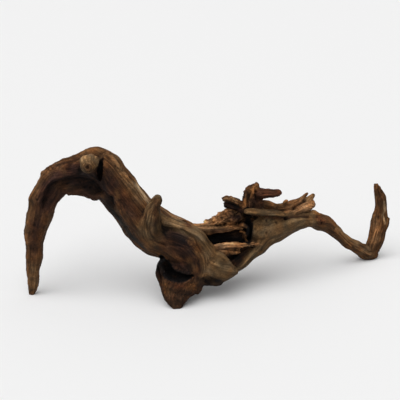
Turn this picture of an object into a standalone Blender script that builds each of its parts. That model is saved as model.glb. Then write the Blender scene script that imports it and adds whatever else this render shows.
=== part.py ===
"""Ebony wood root: a forked piece of driftwood, grown as one piece and modelled as one closed solid.

It rests on three low points: the foot under its belly, the tip of the tall leg on the left and
the elbow of the thin arm on the right. Each limb is a loft along a smooth path. The lofts are
fused by a voxel remesh, the hollows are cut out of them, the thin walls of the foot are fused in,
dents and cracks are pressed in and low swells raised by a formula. Then the mesh is thinned and
cut flat where it rests.

Run it with blender --background --python part.py, or from the text editor.
"""

import bmesh
import bpy
import numpy as np

NODE = "wood_root"
MM = 0.001

# Lengths are in millimetres. Places are measured from the point where the foot rests:
# across (X, to the right), away from the viewer (Y) and up (Z). CENTRE_SHIFT moves that
# point so that the origin lies under the middle of the whole root.
CENTRE_SHIFT = (-47.0, -76.0, 0.0)

# Each limb is a list of stations: across, away, up, half width as seen from the front, half depth.
LIMBS = {
    "left_leg": [
        (-163, 34, -2, 2.5, 3),
        (-163, 34, 2, 3.5, 3.6),
        (-162, 34, 7, 5, 4.8),
        (-160, 34, 16, 6.5, 5.8),
        (-159, 34, 29, 8, 7.5),
        (-157, 34, 47, 9, 9.5),
        (-155, 34, 65, 10, 11),
        (-152, 35, 81, 12, 13),
        (-148, 36, 97, 13.5, 14),
        (-144, 38, 110, 14, 15),
        (-137, 40, 121, 15, 15.5),
        (-129, 42, 130, 16.5, 16),
        (-119, 45, 133, 18, 17),
        (-108, 48, 135, 21, 18),
        (-96, 51, 137, 26.5, 19),
        (-85, 52, 137, 27.5, 19),
        (-76, 50, 129, 25, 18.5),
    ],
    "trunk": [
        (-85, 46, 147, 20, 18),
        (-78, 45, 141, 21, 19.5),
        (-71, 43, 132, 21, 20.5),
        (-63, 41, 122, 21.5, 21),
        (-54, 40, 110, 22, 22),
        (-45, 38, 98, 22, 23.5),
        (-35, 37, 84, 23.5, 25),
        (-22, 37, 72, 24.5, 26),
        (-7, 37, 61, 21.5, 26),
        (9, 38, 49, 22, 26),
    ],
    "belly": [
        (-28, 27, 72, 9, 11),
        (-14, 24, 71, 12.5, 12),
        (1, 22, 68, 15.5, 12.5),
        (15, 22, 59, 19, 13),
        (21, 21, 44, 17.5, 12.5),
        (21, 19, 30, 13, 11),
    ],
    "back_ridge": [
        (-38, 54, 105, 11, 10),
        (-21, 56, 88, 9, 9),
        (-5, 58, 79, 7.5, 8),
        (7, 59, 73, 6.5, 7),
        (15, 60, 69, 5.5, 6),
    ],
    "shelf": [
        (11, 60, 68, 5.5, 6),
        (24, 60, 69, 5.5, 7),
        (35, 62, 67, 6.5, 7),
        (50, 63, 68, 4, 7),
        (62, 64, 70, 3, 7),
        (75, 64, 70, 2.5, 8),
    ],
    "rim": [
        (-20, 29, 92, 7, 8),
        (-11, 26, 88, 7, 8),
        (0, 24, 85, 6.5, 8),
        (11, 23, 81, 6.5, 8.5),
        (21, 22, 75, 7, 9),
        (29, 22, 66, 7, 9),
        (35, 22, 57, 7, 8.5),
        (40, 23, 48, 7.5, 8),
        (45, 24, 38, 7.5, 8),
    ],
    "thumb": [
        (-3, 24, 63, 12.5, 9),
        (-16, 21, 70, 13, 10.5),
        (-25, 19, 79, 13.5, 11),
        (-27, 17, 90, 12, 11),
        (-25, 16, 100, 9.5, 9.8),
        (-23, 15, 108, 7.5, 8.6),
        (-20, 14, 115, 6, 7.4),
        (-19, 13, 120, 5, 5.6),
        (-19, 12, 123, 2.5, 3),
    ],
    "foot": [
        (0, 0, -1, 4.5, 5.5),
        (0, 2, 3, 8, 7.5),
        (0, 4, 8, 12.5, 11),
        (1, 7, 12, 16.5, 14),
        (3, 10, 17, 20, 16.5),
        (5, 14, 23, 22, 18.5),
        (7, 20, 28, 23.5, 19.5),
        (8, 27, 35, 18.5, 20),
    ],
    "loop": [
        (30, 26, 43, 10, 8),
        (38, 22, 40, 17.5, 10),
        (48, 22, 35, 15.5, 9.5),
        (57, 27, 31, 10, 8.5),
        (64, 33, 30, 5, 7),
    ],
    "right_trunk": [
        (57, 34, 24, 4, 8),
        (66, 40, 29, 4, 9),
        (74, 45, 34, 4.5, 10),
        (82, 50, 41, 6, 11.5),
        (91, 56, 49, 9.5, 13),
        (102, 62, 60, 14, 14),
        (123, 76, 66, 14, 13),
        (142, 90, 68, 10.5, 12),
        (158, 99, 66, 9, 10),
        (171, 105, 59, 9.5, 9),
    ],
    "bright_fin": [
        (75, 36, 98, 2.5, 4),
        (80, 38, 98, 3.5, 6),
        (87, 43, 95, 3.5, 8),
        (97, 50, 92, 2.5, 8),
        (109, 60, 88, 2, 8),
        (122, 72, 85, 1.5, 7),
    ],
    "horn": [
        (87, 66, 84, 12, 10),
        (84, 66, 95, 12, 10),
        (84, 66, 104, 11, 9),
        (85, 65, 112, 8, 7.5),
        (88, 65, 116, 5, 5),
        (90, 65, 120, 2, 2.4),
    ],
    "beak": [
        (87, 64, 110, 6, 7),
        (95, 62, 109, 5.5, 6.5),
        (103, 60, 109, 5, 5.5),
        (109, 58, 110, 4.5, 5),
        (114, 57, 111, 4, 4),
        (116, 56, 111, 2, 2.5),
    ],
    "upper_splinter": [
        (85, 72, 89, 9, 9),
        (99, 76, 90, 7.5, 8),
        (113, 82, 87, 6, 7),
        (128, 90, 86, 5, 6),
        (141, 98, 89, 4, 5),
        (149, 104, 94, 3, 3),
        (152, 106, 96, 1, 1.5),
    ],
    "lower_splinter": [
        (104, 76, 80, 4.5, 7),
        (123, 84, 79, 6.5, 8.5),
        (138, 91, 81, 7.5, 8.5),
        (149, 97, 84, 7, 7.5),
        (157, 101, 84, 5, 5),
        (161, 103, 82, 1.5, 2.5),
    ],
    "splinter_tip": [
        (143, 94, 83, 3.5, 5),
        (152, 99, 89, 3.5, 4),
        (157, 102, 93, 2.5, 3),
        (159, 103, 96, 1, 1.5),
    ],
    "right_arm": [
        (143, 92, 69, 9.5, 11),
        (159, 99, 65, 8.5, 10),
        (173, 105, 59, 10, 9),
        (183, 110, 51, 8, 8.5),
        (194, 115, 41, 7, 7.5),
        (206, 121, 29, 7, 7),
        (221, 129, 18, 7.5, 7.5),
        (234, 136, 8, 9, 8),
        (245, 141, 8, 8, 7),
    ],
    "upturned_tip": [
        (238, 138, 6, 8, 8),
        (245, 141, 17, 9, 8),
        (250, 144, 32, 10, 8),
        (252, 147, 46, 10.5, 8),
        (251, 149, 59, 8, 7),
        (249, 150, 74, 6.5, 6),
        (245, 151, 85, 5, 4.5),
        (242, 151, 94, 2, 2),
    ],
    "chunk": [
        (32, 66, 74, 2, 4),
        (38, 67, 75, 4.5, 7),
        (46, 67, 79, 7.5, 9.5),
        (55, 67, 81, 9, 11),
        (65, 67, 82, 9, 10),
        (71, 66, 81, 7, 8),
    ],
    "flake": [
        (51, 54, 106, 1.5, 5),
        (57, 56, 106, 2, 7),
        (64, 60, 102, 2, 8),
        (71, 64, 97, 2.5, 8),
        (78, 66, 90, 5, 8),
    ],
    "flake_back": [
        (54, 68, 95, 3.5, 4),
        (64, 69, 94, 5.5, 4.5),
        (78, 70, 90, 7, 6),
    ],
    "flake_wall": [
        (53, 60, 99, 2, 5),
        (60, 61, 97, 4, 6),
        (66, 62, 95, 4, 6),
        (73, 64, 91, 4.5, 6),
    ],
    "tongue": [
        (29, 28, 59, 3.5, 8),
        (42, 33, 57, 2.5, 6),
        (57, 38, 57, 3, 6),
        (71, 43, 55, 2.5, 6),
        (83, 47, 55, 2, 7),
        (94, 50, 56, 1.5, 5),
    ],
    "under_tongue": [
        (34, 30, 56, 3.5, 7),
        (47, 34, 53, 3.5, 7),
        (59, 39, 50, 3.5, 7),
        (70, 43, 49, 3, 6),
    ],
    "back_wall": [
        (10, 62, 54, 12.5, 9),
        (31, 68, 52, 16, 8),
        (51, 71, 51, 17.5, 8),
        (70, 72, 53, 18.5, 8),
        (86, 72, 60, 19.5, 9),
        (102, 76, 66, 16, 9),
    ],
    "trough_floor": [
        (22, 40, 32, 9, 20),
        (40, 44, 27, 9, 20),
        (58, 50, 30, 9, 18),
        (76, 58, 41, 9, 16),
        (90, 64, 49, 9, 12),
    ],
    "knob": [
        (-92, 40, 150, 11, 10),
        (-90, 28, 153, 9.5, 8.8),
        (-89, 18, 155, 8.5, 8.4),
        (-89, 11, 156, 7.5, 8),
        (-89, 6, 155, 5.5, 6),
    ],
    "face": [
        (86, 54, 72, 12.5, 9),
        (90, 56, 70, 16.5, 12),
        (98, 61, 69, 17.5, 13),
        (110, 69, 70, 15.5, 13),
        (125, 80, 71, 10.5, 11),
        (140, 90, 71, 7.5, 9),
    ],
    "rear": [
        (67, 78, 86, 5.5, 5),
        (77, 79, 82, 8, 6),
        (86, 80, 79, 9, 6),
        (97, 80, 79, 8, 6),
    ],
    "tip_snag": [
        (259, 148, 48, 3, 3),
        (262, 148, 49, 2.5, 2.5),
        (263, 148, 51, 1, 1.2),
    ],
}

# The hollows are lofts of the same kind, cut out of the fused limbs.
HOLLOWS = {
    "mouth": [
        (-16, 8, 52, 2.5, 16),
        (-13, 8, 46, 6, 22),
        (-8, 8, 39, 6.5, 22),
        (-1, 7, 34, 5, 17),
        (8, 6, 32, 3.5, 13),
        (17, 4, 33, 2, 8),
    ],
    "leg_fold": [
        (-79, 31, 163, 1, 6),
        (-79, 27, 158, 1.5, 8),
        (-80, 25, 152, 2, 9),
        (-81, 25, 144, 2.5, 9),
        (-81, 26, 136, 3, 8),
        (-79, 27, 128, 2, 6),
        (-75, 27, 120, 1, 4),
    ],
    "gap": [
        (79, 58, 92, 3, 12),
        (79, 57, 86, 4.5, 14),
        (80, 57, 77, 5, 15),
        (80, 56, 66, 5, 14),
        (80, 56, 57, 3.5, 11),
    ],
    "recess": [
        (-140, 20, 98, 2, 3),
        (-138, 20, 106, 4.5, 6),
        (-135, 21, 115, 7, 8),
        (-129, 23, 124, 9, 9),
        (-119, 26, 128, 10, 9.5),
        (-108, 28, 129, 10.5, 10),
        (-97, 30, 127, 10.5, 10),
        (-88, 32, 124, 9, 9),
        (-80, 34, 121, 4.5, 6),
    ],
}

# Thin walls that are fused in after the hollows are cut.
INSERTS = {
    "lip": [
        (-10, 20, 50, 1.5, 7),
        (-15, 17, 48, 1.5, 8),
        (-19, 15, 44, 1.5, 8),
        (-20, 13, 38, 1.5, 8),
        (-18, 12, 30, 1.5, 8),
        (-14, 12, 21, 2.5, 7),
    ],
    "mouth_back": [
        (-17, 37, 38, 4, 5),
        (-14, 37, 33, 8, 7),
        (-8, 37, 26, 10, 8),
        (1, 36, 19, 10, 9),
    ],
}

# A dent is a round dip: its middle on the surface, its radius and its depth.
DENTS = {
    "saddle_left": ((-11, 17, 79), 8, 0.8),
    "saddle_middle": ((1, 16, 77), 8, 2),
    "saddle_right": ((10, 14, 73), 7, 1.8),
    "fold_pit": ((-66, 27, 117), 4.5, 5),
    "belly_notch": ((38, 13, 25), 4.5, 4),
}

# A crack is a line of points on the surface, with its half width and its depth.
CRACKS = {
    "splinter_crack": ([(124, 73, 85), (135, 87, 87), (147, 96, 90)], 1.8, 5),
    "trunk_crack": ([(124, 67, 79), (138, 77, 77), (151, 86, 74)], 1.8, 2),
}

# Lofts: points round a ring, and how far apart the rings lie.
RING_SIDES = 24
RING_GAP = 4.0
# Flutes make each ring uneven: for each set, how many, how deep, and how fast they twist.
FLUTES = ((3, 0.055, 0.018), (5, 0.04, -0.036), (9, 0.025, 0.045))
# Swells are waves of random direction and length over the whole root.
SWELL_COUNT = 14
SWELL_LENGTHS = (13.0, 38.0)
SWELL_HEIGHT = 0.25
SWELL_SEED = 4
VOXEL = 1.5
SMOOTH_ROUNDS = 4
TRIANGLES = 11200


def unit(vectors):
    return vectors / np.linalg.norm(vectors, axis=-1, keepdims=True)


def smooth_path(stations):
    """Catmull-Rom curve through the stations, with a row about every RING_GAP."""
    knots = np.array(stations, float)
    knots = np.vstack([2 * knots[0] - knots[1], knots, 2 * knots[-1] - knots[-2]])
    rows = []
    for before, start, end, after in zip(knots, knots[1:], knots[2:], knots[3:]):
        steps = max(2, round(np.linalg.norm((end - start)[:3]) / RING_GAP))
        t = np.arange(steps)[:, None] / steps
        straight = 2 * start + (end - before) * t
        bend = (2 * before - 5 * start + 4 * end - after) * t**2
        twist = (3 * start - before - 3 * end + after) * t**3
        rows.append((straight + bend + twist) / 2)
    rows.append(knots[-2:-1])
    return np.vstack(rows)


def ring_axes(centre):
    """Unit vectors along the path, across it as seen from the front, and into its depth."""
    along = unit(np.gradient(centre, axis=0))
    heading = unit(centre[-1] - centre[0])
    points_at_viewer = abs(heading[1]) > 0.8
    reference = (0.0, 0.0, 1.0) if points_at_viewer else (0.0, 1.0, 0.0)
    across = unit(np.cross(along, reference))
    return along, across, np.cross(across, along)


def ring_faces(rings):
    """Quads between neighbouring rings, and a fan of triangles to a pole at each end."""
    here = np.arange(RING_SIDES)
    after = (here + 1) % RING_SIDES
    low = np.arange(rings - 1)[:, None] * RING_SIDES
    quads = np.stack([low + here, low + after, low + RING_SIDES + after, low + RING_SIDES + here])
    last = (rings - 1) * RING_SIDES
    first_pole = np.full(RING_SIDES, rings * RING_SIDES)
    first_fan = np.stack([after, here, first_pole], axis=1)
    last_fan = np.stack([last + here, last + after, first_pole + 1], axis=1)
    return quads.reshape(4, -1).T.tolist() + first_fan.tolist() + last_fan.tolist()


def loft(stations, phase):
    """(points, faces) of a closed limb of fluted oval rings."""
    path = smooth_path(stations)
    centre, half = path[:, :3], np.maximum(path[:, 3:], 0.4)
    along, across, deep = ring_axes(centre)
    steps = np.linalg.norm(np.diff(centre, axis=0), axis=1)
    run = np.concatenate([[0], np.cumsum(steps)])[:, None]
    angle = np.linspace(0, 2 * np.pi, RING_SIDES, endpoint=False)
    flutes = 1 + sum(
        depth * np.cos(count * (angle + phase) + twist * run) for count, depth, twist in FLUTES
    )
    sideways = (half[:, :1] * np.cos(angle) * flutes)[..., None] * across[:, None]
    inward = (half[:, 1:] * np.sin(angle) * flutes)[..., None] * deep[:, None]
    rings = (centre[:, None] + sideways + inward).reshape(-1, 3)
    first_pole = centre[0] - along[0] * half[0].min() * 0.6
    last_pole = centre[-1] + along[-1] * half[-1].min() * 0.6
    return np.vstack([rings, first_pole, last_pole]), ring_faces(len(centre))


def lofts_object(name, all_stations, collection):
    """One object that holds the lofts as they are, overlapping."""
    points, faces, count = [], [], 0
    for phase, stations in enumerate(all_stations.values()):
        loft_points, loft_faces = loft(stations, phase)
        points.append(loft_points)
        faces += [[count + corner for corner in face] for face in loft_faces]
        count += len(loft_points)
    mesh = bpy.data.meshes.new(name)
    mesh.from_pydata((np.vstack(points) * MM).tolist(), [], faces)
    outward = bmesh.new()
    outward.from_mesh(mesh)
    bmesh.ops.recalc_face_normals(outward, faces=outward.faces)
    outward.to_mesh(mesh)
    outward.free()
    made = bpy.data.objects.new(name, mesh)
    collection.objects.link(made)
    return made


def take_in(made, added):
    """Adds the other object's faces to the mesh, and removes that object."""
    both = bmesh.new()
    both.from_mesh(made.data)
    both.from_mesh(added.data)
    both.to_mesh(made.data)
    both.free()
    bpy.data.objects.remove(added)


def add_remesh(made):
    """Fuses overlapping shapes into one closed surface."""
    remesh = made.modifiers.new("fuse", "REMESH")
    remesh.mode = "VOXEL"
    remesh.voxel_size = VOXEL * MM


def add_cut(made, cutter):
    cut = made.modifiers.new("hollows", "BOOLEAN")
    cut.operation = "DIFFERENCE"
    cut.solver = "EXACT"
    cut.object = cutter


def add_smooth(made):
    smooth = made.modifiers.new("smooth", "SMOOTH")
    smooth.factor = 0.5
    smooth.iterations = SMOOTH_ROUNDS


def apply_modifiers(made):
    """Replaces the object's mesh by its evaluated one."""
    graph = bpy.context.evaluated_depsgraph_get()
    mesh = bpy.data.meshes.new_from_object(made.evaluated_get(graph), depsgraph=graph)
    made.modifiers.clear()
    made.data = mesh


def swells(points):
    """Sum of sine waves, each of a random direction, length and phase."""
    rng = np.random.default_rng(SWELL_SEED)
    height = np.zeros(len(points))
    for _ in range(SWELL_COUNT):
        direction = unit(rng.normal(size=3))
        length = rng.uniform(*SWELL_LENGTHS)
        phase = rng.uniform(0, 2 * np.pi)
        height += np.sin(points @ direction * 2 * np.pi / length + phase)
    return height * SWELL_HEIGHT


def distance_to_line(points, line):
    """Distance from each point to the nearest of the line's segments."""
    nearest = np.full(len(points), np.inf)
    for start, end in zip(line[:-1], line[1:]):
        run = end - start
        share = np.clip((points - start) @ run / (run @ run), 0, 1)
        nearest = np.minimum(nearest, np.linalg.norm(points - start - share[:, None] * run, axis=1))
    return nearest


def relief(points):
    """How far each point moves out along its normal: swells, less the dents and the cracks."""
    height = swells(points)
    for middle, radius, depth in DENTS.values():
        distance = np.linalg.norm(points - np.array(middle, float), axis=1)
        height -= depth * np.exp(-((distance / radius) ** 2))
    for line, half_width, depth in CRACKS.values():
        distance = distance_to_line(points, np.array(line, float))
        height -= depth * np.exp(-((distance / half_width) ** 2))
    return height


def raise_relief(mesh):
    """Moves each vertex by the relief, and all of them by the shift to the origin."""
    points = np.empty(len(mesh.vertices) * 3, np.float32)
    mesh.vertices.foreach_get("co", points)
    normals = np.empty_like(points)
    mesh.vertex_normals.foreach_get("vector", normals)
    points = points.reshape(-1, 3).astype(float) / MM
    points += normals.reshape(-1, 3) * relief(points)[:, None] + CENTRE_SHIFT
    mesh.vertices.foreach_set("co", (points * MM).astype(np.float32).ravel())
    mesh.update()


def add_thinning(made):
    """Leaves about TRIANGLES triangles, with fewer of them where the wood is smooth."""
    thin = made.modifiers.new("thin", "DECIMATE")
    thin.use_collapse_triangulate = True
    thin.ratio = TRIANGLES / sum(len(face.vertices) - 2 for face in made.data.polygons)


def cut_flat_rests(mesh):
    """Cuts the three low points flat where the root rests, and closes the cuts."""
    work = bmesh.new()
    work.from_mesh(mesh)
    everything = work.verts[:] + work.edges[:] + work.faces[:]
    bmesh.ops.bisect_plane(
        work, geom=everything, plane_co=(0, 0, 0), plane_no=(0, 0, -1), clear_outer=True
    )
    rims = [edge for edge in work.edges if edge.is_boundary]
    bmesh.ops.holes_fill(work, edges=rims, sides=0)
    bmesh.ops.triangulate(work, faces=work.faces[:])
    work.to_mesh(mesh)
    work.free()


def wood_material():
    material = bpy.data.materials.new("ebony_wood")
    material.use_nodes = True
    surface = material.node_tree.nodes["Principled BSDF"]
    surface.inputs["Base Color"].default_value = (0.11, 0.06, 0.032, 1)
    surface.inputs["Roughness"].default_value = 0.8
    surface.inputs["Metallic"].default_value = 0
    return material


def new_collection(name):
    made = bpy.data.collections.new(name)
    bpy.context.scene.collection.children.link(made)
    return made


def build():
    for old in list(bpy.data.objects):
        bpy.data.objects.remove(old)
    root = lofts_object(NODE, LIMBS, new_collection("ebony_wood_root"))
    hollows = lofts_object("hollows", HOLLOWS, new_collection("cutters"))
    hollows.hide_render = True
    hollows.display_type = "WIRE"
    add_remesh(root)
    add_cut(root, hollows)
    apply_modifiers(root)
    take_in(root, lofts_object("thin_walls", INSERTS, hollows.users_collection[0]))
    add_remesh(root)
    add_smooth(root)
    apply_modifiers(root)
    raise_relief(root.data)
    add_thinning(root)
    apply_modifiers(root)
    cut_flat_rests(root.data)
    root.data.materials.clear()
    root.data.materials.append(wood_material())
    root.data.shade_smooth()
    return root


if __name__ == "__main__":
    build()
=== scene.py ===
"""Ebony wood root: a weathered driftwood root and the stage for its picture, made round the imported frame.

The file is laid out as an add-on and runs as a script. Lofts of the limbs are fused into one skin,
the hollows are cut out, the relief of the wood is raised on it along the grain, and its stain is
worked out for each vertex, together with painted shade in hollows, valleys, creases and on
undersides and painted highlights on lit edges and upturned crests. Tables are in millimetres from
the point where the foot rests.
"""

import math

import bmesh
import bpy
import numpy as np
from bpy.props import FloatProperty, FloatVectorProperty, IntProperty, PointerProperty
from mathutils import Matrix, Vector


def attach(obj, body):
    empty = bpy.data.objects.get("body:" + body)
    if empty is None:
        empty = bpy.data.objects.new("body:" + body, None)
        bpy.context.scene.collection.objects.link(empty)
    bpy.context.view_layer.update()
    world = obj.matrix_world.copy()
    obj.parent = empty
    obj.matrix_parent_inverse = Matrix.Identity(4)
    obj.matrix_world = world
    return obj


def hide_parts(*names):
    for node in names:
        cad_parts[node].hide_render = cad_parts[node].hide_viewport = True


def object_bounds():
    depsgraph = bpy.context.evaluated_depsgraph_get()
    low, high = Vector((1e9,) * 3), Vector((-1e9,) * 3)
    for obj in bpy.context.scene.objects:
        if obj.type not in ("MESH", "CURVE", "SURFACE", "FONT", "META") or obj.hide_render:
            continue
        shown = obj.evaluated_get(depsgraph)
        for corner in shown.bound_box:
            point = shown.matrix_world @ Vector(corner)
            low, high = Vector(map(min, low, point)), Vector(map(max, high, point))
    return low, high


bl_info = {
    "name": "Ebony wood root",
    "version": (1, 0, 0),
    "blender": (4, 5, 0),
    "location": "3D View > Sidebar > Wood root",
    "description": "Builds a weathered driftwood root and the stage for its picture",
    "category": "Add Mesh",
}

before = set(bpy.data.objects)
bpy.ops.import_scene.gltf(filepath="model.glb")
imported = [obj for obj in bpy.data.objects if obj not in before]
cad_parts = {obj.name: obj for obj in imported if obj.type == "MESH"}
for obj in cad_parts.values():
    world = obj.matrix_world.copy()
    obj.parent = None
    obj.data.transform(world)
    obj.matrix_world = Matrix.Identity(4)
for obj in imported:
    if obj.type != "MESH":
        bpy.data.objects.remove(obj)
CAD_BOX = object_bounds()
MM = 0.001
NODE = "wood_root"
# From the foot's contact to the frame's origin.
SHIFT = np.array((-47.0, -76.0, 0.0))

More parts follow.
